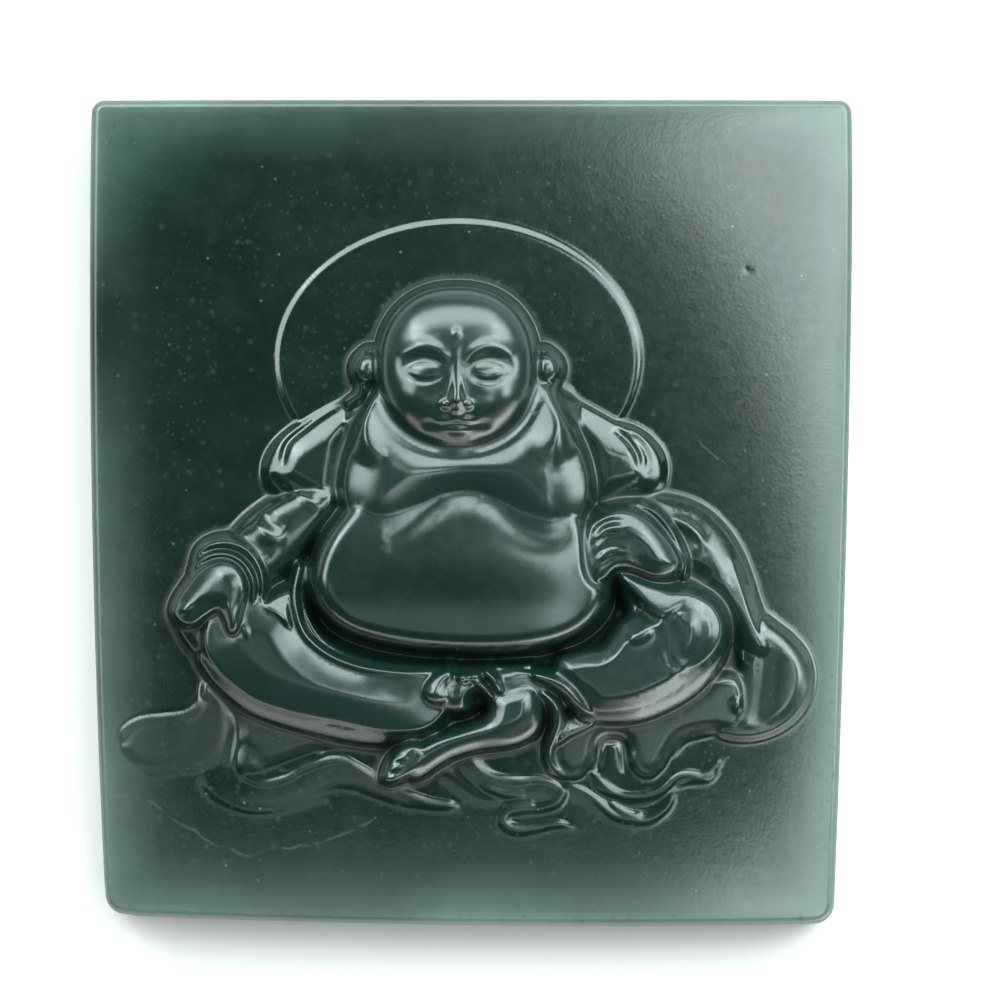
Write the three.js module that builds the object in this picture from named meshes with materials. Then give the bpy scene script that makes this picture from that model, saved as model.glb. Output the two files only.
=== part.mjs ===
// Carved jade plaque: a slab with a seated figure and a halo in relief, one solid.
// Lies on its back. Millimetres, +Z out of the carved face, +Y towards the figure's head, +X to its right as seen.
// The carving is laid out on a design sheet (u to the right, v downwards); UNIT turns sheet units into millimetres.
import * as THREE from 'three';

const PLAQUE_HEIGHT = 50; // mm, top edge to bottom edge
const SLAB_THICKNESS = 6.0; // mm, back to the ground of the carving
const SHEET_TOP = 99; // sheet v of the top edge
const SHEET_BOTTOM = 927; // sheet v of the bottom edge at its lowest
const SHEET_LEFT = 89; // sheet u of the left edge at its widest
const SHEET_RIGHT = 853.5; // sheet u of the right edge at its widest
const UNIT = PLAQUE_HEIGHT / (SHEET_BOTTOM - SHEET_TOP); // mm per sheet unit
const TOP_CORNER = 13; // corner radii in plan
const BOTTOM_CORNER = 20;
const FRONT_ROUND = 8; // rounding of the front edge
const BACK_ROUND = 6; // rounding of the back edge
const INSET = 16; // margin outside the relief grid
const CELLS = 512; // relief grid, a power of two
const SOFTEN = 1.5; // softening of the carving, in grid cells
const FACES = 7600; // faces on the carved side
const STONE = { color: 0x1f4438, roughness: 0.25, metalness: 0.0 };

// Heights of the main forms above the ground, in sheet units
const HALO_TOP = 2.6; // disc behind the head
const HEAD_TOP = 72; // middle of the head
const CHEST_TOP = 51; // breastbone
const BELLY_TOP = 42; // belly, before its swelling
const LEG_TOP = 42; // crossed legs
const SLEEVE_TOP = 25; // sleeves
const CAPE_TOP = 18; // robe over the shoulders
const HAND_TOP = 50; // backs of the hands
const FOOT_TOP = 42; // front foot
const SACK_TOP = 19; // cloth sack
const WALL = 0.9; // slope of the outer side walls
const HEAD_U = 457; // upright axis of the head

// ---- plan of the slab -------------------------------------------------------
const bow = (x, centre, span, reach, power) => reach * Math.abs((x - centre) / span) ** power;
const leftEdge = (v) => SHEET_LEFT + bow(v, 280, 616, 15, 2);
const rightEdge = (v) => SHEET_RIGHT - bow(v, 180, 716, 18, 1.5);
const topEdge = () => SHEET_TOP;
const bottomEdge = (u) => SHEET_BOTTOM - bow(u, 620, 490, 10, 2);
const CENTRE_U = (SHEET_LEFT + SHEET_RIGHT) / 2;
const CENTRE_V = (SHEET_TOP + SHEET_BOTTOM) / 2;

function ground(u, v) {
  // gently pillowed towards the rim
  const x = Math.abs((u - CENTRE_U) / 382), y = Math.abs((v - CENTRE_V) / 414);
  return -4 * (x ** 2 + y ** 2) - 9 * (x ** 4 + y ** 4);
}

// ---- carving tools on a height sheet ---------------------------------------
const smoothMax = (a, b, k) => {
  const h = Math.min(1, Math.max(0, 0.5 + 0.5 * (a - b) / k));
  return b + (a - b) * h + k * h * (1 - h);
};

function spline(pts, n, closed) {
  const m = pts.length, out = [];
  const mix = (a, b, f) => a.map((x, i) => x * (1 - f) + b[i] * f);
  for (let i = 0; i < (closed ? m : m - 1); i++) {
    const b = pts[i], c = pts[(i + 1) % m];
    const a = closed ? pts[(i + m - 1) % m] : i > 0 ? pts[i - 1] : mix(b, c, -1);
    const d = closed ? pts[(i + 2) % m] : i + 2 < m ? pts[i + 2] : mix(c, b, -1);
    for (let j = 0; j < n; j++) {
      const t = j / n;
      out.push(b.map((_, k) => 0.5 * (2 * b[k] + (c[k] - a[k]) * t + (2 * a[k] - 5 * b[k] + 4 * c[k] - d[k]) * t * t + (3 * b[k] - a[k] - 3 * c[k] + d[k]) * t ** 3)));
    }
  }
  if (!closed) out.push(pts[m - 1].slice());
  return out;
}

class Relief {
  constructor(U, V) { this.U = U; this.V = V; this.H = new Float64Array(U.length); }

  box(u0, u1, v0, v1, visit) {
    const { U, V } = this;
    for (let i = 0; i < U.length; i++) if (U[i] >= u0 && U[i] <= u1 && V[i] >= v0 && V[i] <= v1) visit(i, U[i], V[i]);
  }

  near(path, reach, closed, visit) {
    const us = path.map((p) => p[0]), vs = path.map((p) => p[1]), n = path.length, extra = path[0].length - 2;
    this.box(Math.min(...us) - reach, Math.max(...us) + reach, Math.min(...vs) - reach, Math.max(...vs) + reach, (i, u, v) => {
      let best = 1e18, seg = 0, at = 0, side = 1;
      for (let j = 0; j < (closed ? n : n - 1); j++) {
        const a = path[j], b = path[(j + 1) % n], eu = b[0] - a[0], ev = b[1] - a[1], L = eu * eu + ev * ev;
        if (L < 1e-12) continue;
        const pu = u - a[0], pv = v - a[1], t = Math.min(1, Math.max(0, (pu * eu + pv * ev) / L));
        const du = pu - t * eu, dv = pv - t * ev, d2 = du * du + dv * dv;
        if (d2 < best) { best = d2; seg = j; at = t; side = eu * pv - ev * pu >= 0 ? 1 : -1; }
      }
      const a = path[seg], b = path[(seg + 1) % n], val = [];
      for (let k = 0; k < extra; k++) val.push(a[2 + k] + (b[2 + k] - a[2 + k]) * at);
      visit(i, u, v, Math.sqrt(best), side, val);
    });
  }

  put(i, z, out, { k = 3, cut = 0, cutw = 6 }) {
    let h = this.H[i];
    if (cut && z < h + cut) h -= cut * Math.exp(-((Math.max(out, 0) / cutw) ** 2));
    this.H[i] = smoothMax(h, z, k);
  }

  dome(cu, cv, ru, rv, top, o = {}) {
    const { base = -6, rot = 0, p = 2, e = 2, q = 0.5, skirt = 4 } = o;
    const R = Math.max(ru, rv) * 1.3 + 20, c = Math.cos(rot * Math.PI / 180), s = Math.sin(rot * Math.PI / 180);
    this.box(cu - R, cu + R, cv - R, cv + R, (i, u, v) => {
      const x = u - cu, y = v - cv, X = x * c + y * s, Y = -x * s + y * c;
      const r = ((Math.abs(X) / ru) ** p + (Math.abs(Y) / rv) ** p) ** (1 / p), out = (r - 1) * Math.min(ru, rv);
      this.put(i, r < 1 ? base + (top - base) * (1 - r ** e) ** q : base - skirt * out, out, o);
    });
  }

  tube(pts, o = {}) {
    const { e = 2, q = 0.5, tilt = 0, skirt = 4 } = o;
    const path = spline(pts, 10, false);
    this.near(path, Math.max(...path.map((p) => p[2])) + 22, false, (i, u, v, d, side, [w, base, top]) => {
      const r = d / Math.max(w, 0.5);
      let z = r < 1 ? base + (top - base) * (1 - r ** e) ** q : base - skirt * (d - w);
      z += tilt * side * Math.min(r, 1);
      this.put(i, z, d - w, o);
    });
  }

  plate(pts, top, bevel, o = {}) {
    const { base = 0, p = 2, skirt = 4, slope = [0, 0, 0, 0], lean = [0, 0, 0, 0], crown = [0, 0, 1, 1, 0] } = o, across = crown[5] ?? 2;
    const path = spline(pts, 8, true), m = path.length;
    this.near(path, 26, true, (i, u, v, d) => {
      let inside = false;
      for (let j = 0; j < m; j++) {
        const a = path[j], b = path[(j + 1) % m];
        if ((a[1] > v) !== (b[1] > v) && u < a[0] + (v - a[1]) / (b[1] - a[1]) * (b[0] - a[0])) inside = !inside;
      }
      const t = Math.min(1, d / bevel), T = top + (u - slope[2]) * slope[0] + (v - slope[3]) * slope[1] + crown[4] * (1 - Math.abs((u - crown[0]) / crown[2]) ** across - ((v - crown[1]) / crown[3]) ** 2);
      const z = inside ? base + (T - base) * (1 - (1 - t) ** p) ** (1 / p) : base - skirt * d;
      this.put(i, z + (u - lean[2]) * lean[0] + (v - lean[3]) * lean[1], inside ? -d : d, { k: 3, ...o });
    });
  }

  bank(pts, slope, o = {}) {
    const path = spline(pts, 10, false);
    this.near(path, Math.max(...path.map((p) => p[2])) + 22, false, (i, u, v, d, side, [w, top]) => {
      this.put(i, Math.min(top, (w - d) * slope), d - w, { k: 1.5, ...o });
    });
  }

  disc(cu, cv, ru, rv, top, bevel) {
    this.box(cu - ru - 20, cu + ru + 20, cv - rv - 20, cv + rv + 20, (i, u, v) => {
      const x = u - cu, y = v - cv, r = Math.hypot(x / ru, y / rv) + 1e-9, g = Math.hypot(x / ru ** 2, y / rv ** 2) / r + 1e-9;
      const s = (r - 1) / g, t = Math.min(1, Math.max(0, -s / bevel));
      this.put(i, s < 0 ? top * t : -4 * s, s, { k: 0.6 });
    });
  }

  moat(cu, cv, ru, rv, floor, slope, { p = 2, k = 1.5 } = {}) {
    const R = Math.max(ru, rv) + 40;
    this.box(cu - R, cu + R, cv - R, cv + R, (i, u, v) => {
      const r = ((Math.abs(u - cu) / ru) ** p + (Math.abs(v - cv) / rv) ** p) ** (1 / p);
      this.H[i] = -smoothMax(-this.H[i], -(floor + slope * Math.max((r - 1) * Math.min(ru, rv), 0)), k);
    });
  }

  bump(cu, cv, ru, rv, height, { rot = 0, e = 2 } = {}) {
    const R = Math.max(ru, rv), c = Math.cos(rot * Math.PI / 180), s = Math.sin(rot * Math.PI / 180);
    this.box(cu - R, cu + R, cv - R, cv + R, (i, u, v) => {
      const x = u - cu, y = v - cv, r2 = ((x * c + y * s) / ru) ** 2 + ((-x * s + y * c) / rv) ** 2;
      if (r2 < 1) this.H[i] += height * (1 - r2) ** e;
    });
  }

  line(pts, width, height) {
    const path = spline(pts, 10, false), n = path.length;
    const ribbon = path.map((p, j) => [p[0], p[1], Math.sqrt(Math.sin(Math.PI * j / (n - 1)))]);
    ribbon[n - 1][2] = 0;
    this.near(ribbon, width * 3, false, (i, u, v, d, side, [f]) => { this.H[i] += height * f * Math.exp(-((d / width) ** 2)); });
  }
}

// ---- forms of the carving, back to front -----------------------------------
function halo(R) {
  R.disc(458, 359, 184, 141, HALO_TOP, 6);
}

function ribbons(R) {
  // cloth lobe at the lower left
  R.plate([[203, 682], [198, 704], [186, 715], [162, 718], [140, 722], [124, 736], [121, 750], [134, 764], [158, 772], [185, 773], [207, 769], [223, 757], [231, 738], [233, 715], [225, 692]], 2.5, 12, { p: 1.3, slope: [0.0, -0.045, 180, 735], k: 1.0 });
  R.line([[119, 740], [127, 728], [142, 720], [162, 717.5], [182, 715], [194, 709], [200, 698]], 3.4, 2.4);
  R.line([[124, 750], [136, 743]], 3.5, 0.5);
  R.line([[134, 766], [155, 773], [182, 769], [206, 767]], 3.2, 0.6);
  R.line([[230, 712], [234, 728], [231, 746], [227, 766]], 3.4, 1.7);
  R.line([[205, 666], [206, 684], [203, 700]], 3.6, 2.0);
  // cloth under the left knee
  R.plate([[215, 690], [236, 718], [238, 742], [236, 768], [246, 775], [268, 768], [292, 760], [318, 752], [345, 748], [395, 755], [420, 740], [380, 715], [300, 700]], 4.5, 12, { p: 1.2, slope: [0.0, -0.05, 300, 740], k: 1.5 });
  R.line([[240, 742], [252, 751], [264, 766]], 6, -1.3);
  R.line([[280, 772], [304, 762], [324, 751]], 3.4, 1.4);
  // long wavy ribbon
  R.tube([[208, 782, 9, -0.5, 0.5], [226, 794, 13, -0.5, 1.05], [250, 798, 15, -0.5, 1.35], [275, 796, 15, -0.5, 1.55], [305, 786, 15, -0.5, 1.8], [332, 776, 15, -0.5, 2.2], [356, 778, 14, -0.5, 2.48], [382, 789, 12, -0.5, 2.23], [410, 800, 9, -0.5, 1.61], [448, 806, 6, -0.5, 0.37]], { e: 2.4, q: 1.0, k: 1.5 });
  R.line([[240, 776], [262, 783], [284, 779], [304, 769], [329, 760.5], [345, 761], [357, 767], [378, 780]], 3.2, 2.8);
  R.line([[204, 782], [218, 797], [243, 809], [267, 811], [294, 806], [330, 796]], 3.0, 0.9);
  R.line([[398, 790], [420, 800], [436, 804], [460, 805]], 4.2, 2.4);
  // strips under the foot
  R.tube([[430, 764, 8, -0.5, 1.24], [447, 776, 9, -0.5, 1.61], [466, 790, 9, -0.5, 1.61], [481, 799, 7, -0.5, 1.24], [498, 801, 5, -0.5, 0.37]], { e: 2.0, q: 1.0, k: 1.2 });
  R.tube([[464, 754, 12, -0.5, 2.48], [474, 769, 13, -0.5, 2.85], [492, 783, 13, -0.5, 3.1], [520, 790, 12, -0.5, 3.1], [548, 794, 11, -0.5, 3.1], [557, 799, 8, -0.5, 2.79]], { e: 2.4, q: 1.0, k: 1.2 });
  R.line([[470, 758], [478, 768], [490, 775], [505, 779.5], [520, 780.5], [535, 779.5], [549, 782], [559, 788], [563, 796]], 2.8, 2.4);
  R.line([[472, 762], [484, 771], [498, 777], [516, 781]], 2.4, -1.2);
  R.line([[480, 784], [500, 793], [526, 797]], 2.8, 1.2);
  R.tube([[563, 793, 6, -0.5, 2.85], [556, 803, 6, -0.5, 2.85], [540, 808, 6, -0.5, 2.48], [522, 809.5, 6, -0.5, 2.48], [508, 812.5, 6.2, -0.5, 2.6], [503, 820, 6.6, -0.5, 2.85], [508, 827, 7, -0.5, 3.47], [519, 830, 6.6, -0.5, 3.72], [534, 828.5, 5.8, -0.5, 3.22], [548, 825.5, 5.2, -0.5, 2.85], [560, 824, 4.6, -0.5, 2.36], [572, 827, 3, -0.5, 0.62]], { e: 2.0, q: 1.0, k: 0.8 });
  R.line([[504, 806], [518, 803.5], [534, 803]], 2.6, 1.8);
  // curls at the lower right
  R.tube([[556, 782, 7, -0.5, 2.23], [579, 792, 9, -0.5, 3.1], [597, 804, 9.5, -0.5, 3.35], [620, 816, 9.5, -0.5, 3.35], [640, 819, 9, -0.5, 3.22], [656, 815, 8, -0.5, 2.85], [668, 805, 6, -0.5, 2.23], [672, 794, 5, -0.5, 0.93]], { e: 2.0, q: 1.0, k: 1.0 });
  R.tube([[592, 774, 7, -0.5, 2.48], [606, 787, 8.5, -0.5, 3.1], [621, 796, 8, -0.5, 3.1], [640, 796, 7.5, -0.5, 2.73], [660, 791, 7.5, -0.5, 2.73], [680, 781, 7.5, -0.5, 2.73], [700, 777, 7, -0.5, 2.36], [712, 769, 5, -0.5, 1.61], [721, 761, 3.6, -0.5, 0.5]], { e: 2.0, q: 1.0, k: 1.0 });
  R.line([[600, 790], [622, 806], [646, 808], [662, 800]], 2.6, -1.6);
}

function under_drape(R) {
  // robe spread under the right leg, cut by a square gap
  R.plate([[560, 718], [552, 742], [554, 764], [569, 778], [586, 774], [597, 760], [600, 746], [606, 739], [620, 739], [626, 746], [630, 765], [640, 775], [654, 776], [664, 768], [671, 755], [684, 739], [712, 733], [740, 735], [752, 700], [730, 670], [640, 690]], 7, 13, { p: 1.25, slope: [0.01, -0.07, 640, 740], k: 1.2 });
  R.line([[549, 750], [556, 768], [569, 777], [584, 773]], 3.2, 2.0);
  R.line([[597, 774], [599, 750], [603, 741], [612, 739], [620, 740.5], [623, 750], [625, 774]], 4.2, -3.6);
  R.plate([[566, 716], [600, 721], [586, 731], [571, 738], [557, 745]], 18, 4, { base: 7, p: 1.2, slope: [0.1, 0.42, 575, 730], k: 1.2, skirt: 3 });
  R.line([[634, 752], [636, 766], [644, 774], [656, 774]], 3.2, 2.0);
  R.line([[671, 756], [684, 740], [702, 734], [720, 731]], 3.0, 1.8);
  R.line([[735, 698], [737, 706], [735, 713]], 4, 2.8);
}

function sack(R) {
  // tail of the sack
  R.plate([[760, 618], [776, 627], [792, 640], [804, 656], [809, 675], [806, 695], [796, 713], [780, 726], [760, 734], [740, 736], [722, 732], [733, 722], [740, 706], [743, 684], [742, 660], [748, 640]], 11.5, 12, { base: 6, p: 1.1, k: 1.5, skirt: WALL, slope: [0.02, -0.03, 775, 680] });
  R.line([[764, 646], [762, 674], [758, 706], [752, 724]], 12, -4);
  R.line([[810, 680], [805, 700], [793, 717], [777, 728.5], [760, 734.5], [743, 736], [728, 733.5], [716, 730]], 2.8, 2.0);
  // body with a lit outer facet
  R.plate([[636, 503], [668, 504], [695, 513], [716, 530], [732, 553], [743, 580], [751, 605], [760, 628], [770, 650], [757, 654], [744, 642], [733, 622], [722, 606], [708, 594], [690, 587], [668, 584], [650, 580], [636, 540]], SACK_TOP, 17, { base: 10.5, p: 1.08, k: 1.5, skirt: WALL });
  R.line([[648, 496], [680, 500], [708, 514], [730, 540], [745, 570], [753, 600]], 2.8, 1.6);
  R.line([[664, 519], [684, 524], [698, 536], [703, 556]], 5, 2.8);
  R.bump(680, 536, 24, 13, -4, { rot: 35, e: 1.5 });
  R.bump(694, 572, 24, 12, -5, { rot: 15, e: 1.5 });
  R.line([[730, 556], [741, 590], [752, 622], [766, 648]], 4.5, 2.6);
  R.line([[737, 646], [741, 656], [746, 666]], 4, 2.6);
}

function legs(R) {
  // left leg: the straight bank along its lower edge, then the rounded top
  R.plate([[199, 657], [204, 669], [212, 681], [230, 698], [250, 712.5], [275, 722.5], [310, 732.5], [350, 741], [380, 744], [400, 741], [430, 735], [448, 715], [440, 690], [380, 690], [300, 668], [240, 640], [210, 630]], 27, 12.5, { base: 16.5, p: 1.0, k: 0.8, cut: 1, cutw: 6 });
  R.plate([[205, 632], [207, 652], [218, 668], [235, 685.5], [260, 702.5], [300, 715.5], [340, 723], [370, 729], [395, 732], [425, 728], [444, 712], [450, 690], [442, 674], [400, 673], [370, 668], [335, 657], [310, 640], [298, 622], [285, 608], [262, 598], [240, 590], [215, 606]], LEG_TOP - 8, 33, { base: 29.5, p: 1.25, k: 1.2, crown: [322, 672, 105, 300, 9] });
  R.bump(418, 666, 60, 36, 5, { e: 1.5 });
  // right leg
  R.plate([[576, 714], [590, 721], [612, 723.5], [640, 721.5], [665, 712.5], [690, 698.5], [708, 682.5], [722, 661], [728.5, 640], [727, 618], [714, 599], [690, 590], [650, 600], [620, 650], [590, 690]], 29, 14, { base: 17.5, p: 1.0, k: 0.8, cut: 1, cutw: 6, skirt: 8 });
  R.plate([[582, 700], [592, 709], [602, 713], [630, 710.5], [655, 702], [680, 689], [700, 672.5], [715, 657], [724, 640], [723, 618], [711, 600], [692, 592], [668, 592], [655, 604], [640, 612], [622, 622], [612, 634], [600, 648], [580, 651], [560, 656], [556, 672], [566, 688]], LEG_TOP, 16, { base: 29.5, p: 1.0, k: 1.5, slope: [0.03, -0.03, 640, 672], skirt: 8 });
  // knee
  R.plate([[653, 602], [668, 594], [686, 591], [704, 598], [716, 610], [721, 628], [716, 647], [704, 661], [689, 668], [675, 666], [666, 654], [661, 634]], 51, 30, { base: 40, p: 1.08, k: 2.5, skirt: 3.0, slope: [-0.09, 0.0, 688, 630] });
  R.line([[661, 642], [661, 655], [667, 667], [679, 672], [694, 668], [705, 658]], 3.2, 1.1);
  R.line([[672, 642], [674, 655], [680, 663], [689, 666]], 2.8, 1.1);
  R.line([[668, 618], [675, 610], [683, 613], [687, 625]], 4.5, -1.6);
  R.line([[655, 588], [670, 584.5], [688, 585.5], [706, 591.5], [720, 602.5], [731, 619]], 3.0, 4.0);
  R.line([[664, 592], [688, 590.5], [706, 597], [719, 608], [727, 624]], 2.8, -3.2);
  R.plate([[611, 567], [640, 579], [664, 587], [690, 592], [682, 606], [664, 618], [646, 608], [628, 589]], 44.5, 5, { base: 35, p: 1.3, skirt: 2.0, slope: [-0.08, 0.38, 645, 597], k: 5.0 });
  R.line([[612, 575], [629, 595], [648, 616], [658, 624]], 4.5, -5);
  // folds beside the heel
  R.tube([[536, 675, 8, 14, 34], [552, 680, 10, 16, 39], [566, 688, 11, 18, 41], [576, 699, 10, 18, 39], [584, 708, 8, 16, 34], [592, 713, 5, 14, 28]], { e: 1.8, q: 0.8, k: 2 });
  R.tube([[538, 690, 6, 10, 28], [549, 698, 8, 10, 32], [556, 708, 9, 10, 33], [558, 722, 9, 8, 28], [553, 738, 8, 4, 20], [548, 752, 7, 1, 12], [552, 766, 6, 0, 7], [562, 775, 5, -0.5, 3]], { e: 1.8, q: 0.8, k: 1.5 });
  R.line([[546, 704], [549, 720], [546, 738], [543, 756]], 3.4, -3.2);
}

function belly(R) {
  R.plate([[345, 500], [322, 532], [310, 560], [308, 588], [320, 615], [348, 637], [398, 651], [461, 657], [520, 655.5], [566, 646], [598, 626], [613, 598], [609, 560], [592, 520], [570, 470], [460, 450], [370, 460]], BELLY_TOP, 25, { base: -4, p: 2.5, k: 2.0, cut: 8, cutw: 7, crown: [433, 582, 170, 84, 11.5, 5] });
  // its dip under the chest
  R.line([[385, 537], [405, 530], [425, 515], [444, 501], [462, 495], [480, 497], [498, 507], [514, 522], [530, 533], [550, 538], [572, 531]], 13, -1.8);
  R.line([[385, 537], [405, 530], [425, 515], [444, 501]], 13, -1.2);
  R.line([[480, 497], [498, 507], [514, 522], [530, 533], [550, 538], [572, 531]], 13, -1.7);
}

function hem(R) {
  R.tube([[300, 566, 4, 20, 27], [295, 590, 5, 24, 35], [296, 608, 5.5, 26, 37], [301, 626, 5.5, 26, 37], [311, 641, 5.5, 26, 37], [331, 656, 5.5, 26, 37], [356, 666, 5.5, 26, 37], [382, 671, 5.5, 26, 36.5], [410, 673, 5, 26, 36], [438, 671, 5, 24, 32]], { e: 1.8, q: 0.8, k: 1.2 });
  R.tube([[308, 566, 4, 10, 20], [303, 590, 4.4, 14, 26], [307, 615, 4.4, 14, 27], [320, 637, 4.4, 14, 27], [342, 652, 4.4, 14, 27], [372, 662, 4.4, 14, 27], [402, 666.5, 4.4, 14, 27], [440, 668, 4.4, 14, 26], [480, 668, 4.4, 12, 24], [530, 666, 4.4, 12, 23]], { e: 1.8, q: 0.8, k: 1.2 });
  R.plate([[262, 604], [288, 590], [291, 608], [292.5, 629], [277, 617]], 36, 3, { base: 26, p: 1.2, skirt: 2.5, slope: [0.06, 0.42, 280, 608], k: 1.2 });
  R.tube([[513, 671, 4, 8, 27], [542, 674, 4.5, 8, 30], [560, 671, 4.5, 8, 31], [582, 668, 4.5, 8, 32], [604, 664.5, 4.5, 8, 33], [616, 656, 5, 8, 35], [624, 644, 6, 8, 36], [630, 630, 8, 8, 34], [635, 614, 9, 6, 27], [633, 596, 8, 2, 16]], { e: 1.8, q: 0.8, k: 3 });
  R.line([[628, 640], [640, 636], [651, 630]], 5.5, 3.6);
}

function chest(R) {
  R.plate([[371, 404], [357, 432], [347, 460], [343, 484], [346, 506], [353, 521], [366, 532.5], [385, 536.5], [405, 530], [425, 515], [444, 501], [462, 495], [480, 497], [498, 507], [514, 522], [530, 533], [550, 538], [570, 530.5], [584, 513], [590, 488], [585, 460], [573, 432], [556, 404], [540, 370], [500, 345], [457, 340], [414, 345], [386, 370]], CHEST_TOP, 42, { base: 35, p: 1.3, k: 1.5, crown: [464, 484, 150, 120, 2.0] });
  R.bump(370, 424, 26, 46, 12, { e: 1.5 });
  R.bump(556, 424, 26, 46, 12, { e: 1.5 });
  R.moat(HEAD_U, 367, 90, 92, 45, 0.43, { p: 2.25, k: 3 });
}

function capes(R) {
  R.plate([[380, 387], [352, 399], [330, 409], [308, 422], [290, 434], [277, 447], [269, 462], [268, 477], [274, 490], [286, 497], [304, 507], [322, 517], [338, 518], [348, 500], [352, 470], [358, 440], [372, 415]], CAPE_TOP, 27, { base: 7, p: 1.08, k: 1.2, skirt: WALL });
  R.line([[345, 403], [325, 414], [304, 429], [289, 442], [284, 455], [283, 468]], 3.2, -2.6);
  R.line([[284, 481], [299, 493], [324, 511]], 3.2, 2.4);
  R.line([[272, 474], [281, 487], [291, 495]], 3.0, -2.0);
  R.plate([[536, 382], [560, 394], [582, 406], [602, 417], [620, 427], [636, 433], [650, 444], [659, 458], [661, 474], [655, 489], [640, 498], [620, 503], [604, 507], [590, 514], [583, 490], [577, 455], [560, 420]], CAPE_TOP, 27, { base: 7, p: 1.08, k: 1.2, skirt: WALL });
  R.line([[614, 429], [627, 440], [637, 455], [639, 470]], 3.0, -3.0);
  R.line([[628, 432], [641, 445], [648, 460], [645, 474]], 2.6, -2.2);
  R.line([[646, 478], [630, 488], [612, 498], [600, 506]], 3.0, 1.6);
}

function left_arm(R) {
  // sleeve with its side wall
  R.tube([[322, 508, 24, 8, 23], [296, 522, 29, 8, 25], [271, 543, 32, 8, 27], [249, 566, 30, 8, 28], [234, 584, 26, 8, 28]], { e: 2.0, q: 0.5, k: 2.0, skirt: WALL });
  R.line([[263, 512], [272, 522], [286, 528]], 5.5, -2.6);
  R.line([[252, 523], [263, 530], [272, 537], [286, 541]], 5.5, 3.0);
  R.line([[240, 531], [251, 541], [262, 548], [274, 550]], 5.5, -2.6);
  // rolled cuff
  R.tube([[197, 562, 5, 10, 20], [202, 552, 6, 12, 26], [211, 545.5, 6.5, 14, 30], [224, 543, 7, 16, 33], [238, 545.5, 7, 18, 35], [250, 553, 7, 18, 36], [259, 566, 6.5, 18, 36], [263, 582, 5.5, 18, 35], [262, 598, 4, 18, 33]], { e: 1.8, q: 0.8, k: 1.5 });
  R.tube([[195, 571, 5, 12, 26], [203, 561, 6, 16, 32], [213, 555.5, 6, 18, 35], [226, 554.5, 6, 20, 38], [239, 559.5, 6, 22, 40], [249, 570, 6, 22, 41], [254, 584, 5.5, 22, 40], [253, 600, 4, 22, 37]], { e: 1.8, q: 0.8, k: 1.2 });
  // hand on the knee
  R.plate([[195, 575], [205, 566], [219, 560.5], [232, 562.5], [242, 572], [247, 587], [244, 602], [241, 617], [238, 630], [230, 632], [225, 620], [219, 610], [207, 616], [197, 623], [188, 625], [179, 620], [174, 611], [178, 599], [186, 587]], HAND_TOP, 18, { base: 41.5, p: 1.3, k: 1.5, cut: 2, cutw: 4, skirt: 5.0, slope: [0.04, 0.0, 220, 590], lean: [0.2, 0.0, 228, 585] });
  R.bump(184, 609, 11, 8, 3.0, { rot: -30, e: 1.5 });
  R.line([[207, 597], [197, 607], [190, 619]], 4.0, -1.4);
  R.line([[229, 602], [232, 614], [235, 627]], 4.5, 2.2);
  R.line([[242, 617], [245, 627], [250, 639]], 3.0, 2.6);
  // cloth edge that hangs from the hand
  R.plate([[184, 594], [175, 605], [175, 618], [184, 637], [196, 653], [204, 660], [214, 656], [214, 630], [195, 606]], 15, 8, { base: 7, p: 1.2, k: 1.5, skirt: 1.2 });
  R.line([[172, 612], [178, 627], [187, 642], [199, 659]], 3.0, 2.0);
}

function right_arm(R) {
  // fist against the belly
  R.plate([[586, 540], [590, 526], [600, 518], [614, 512], [630, 511], [646, 519], [660, 532], [672, 547], [679, 562], [671, 574], [654, 577], [634, 570], [616, 568], [604, 578], [594, 580], [587, 566]], HAND_TOP, 17, { base: 41, p: 1.12, k: 1.5, cut: 5, cutw: 5, skirt: 2.5, slope: [0.08, 0.0, 635, 545] });
  R.line([[592, 535], [600, 526], [612, 521], [626, 522]], 2.8, -2.2);
  R.line([[592, 546], [600, 538], [610, 533], [624, 534]], 2.8, -2.2);
  R.line([[594, 556], [602, 549], [612, 545], [624, 547]], 2.8, -2.2);
  R.line([[598, 566], [606, 558], [614, 554.5], [626, 557]], 2.8, -2.4);
  R.line([[596, 541], [606, 530], [622, 528]], 2.6, 1.6);
  R.line([[600, 561], [608, 553], [622, 551]], 2.6, 1.6);
  R.line([[604, 570], [622, 560], [640, 568], [660, 577]], 3.0, 1.4);
  R.bump(636, 552, 18, 12, -2.0, { rot: 30, e: 1.5 });
  // cuff
  R.tube([[638, 505, 5, 14, 28], [654, 512, 5, 16, 32], [668, 527, 5, 18, 35], [678, 545, 5, 18, 36], [685, 563, 4.6, 16, 34], [683, 578, 4, 14, 28]], { e: 1.8, q: 0.8, k: 1.5, cut: 1, cutw: 4 });
  R.line([[640, 509], [656, 520], [668, 536], [676, 556]], 2.8, 2.0);
  R.tube([[588, 516, 4, 10, 26], [612, 507, 4.5, 12, 28], [640, 504, 4.5, 12, 28]], { e: 1.8, q: 0.8, k: 1.5 });
}

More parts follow.
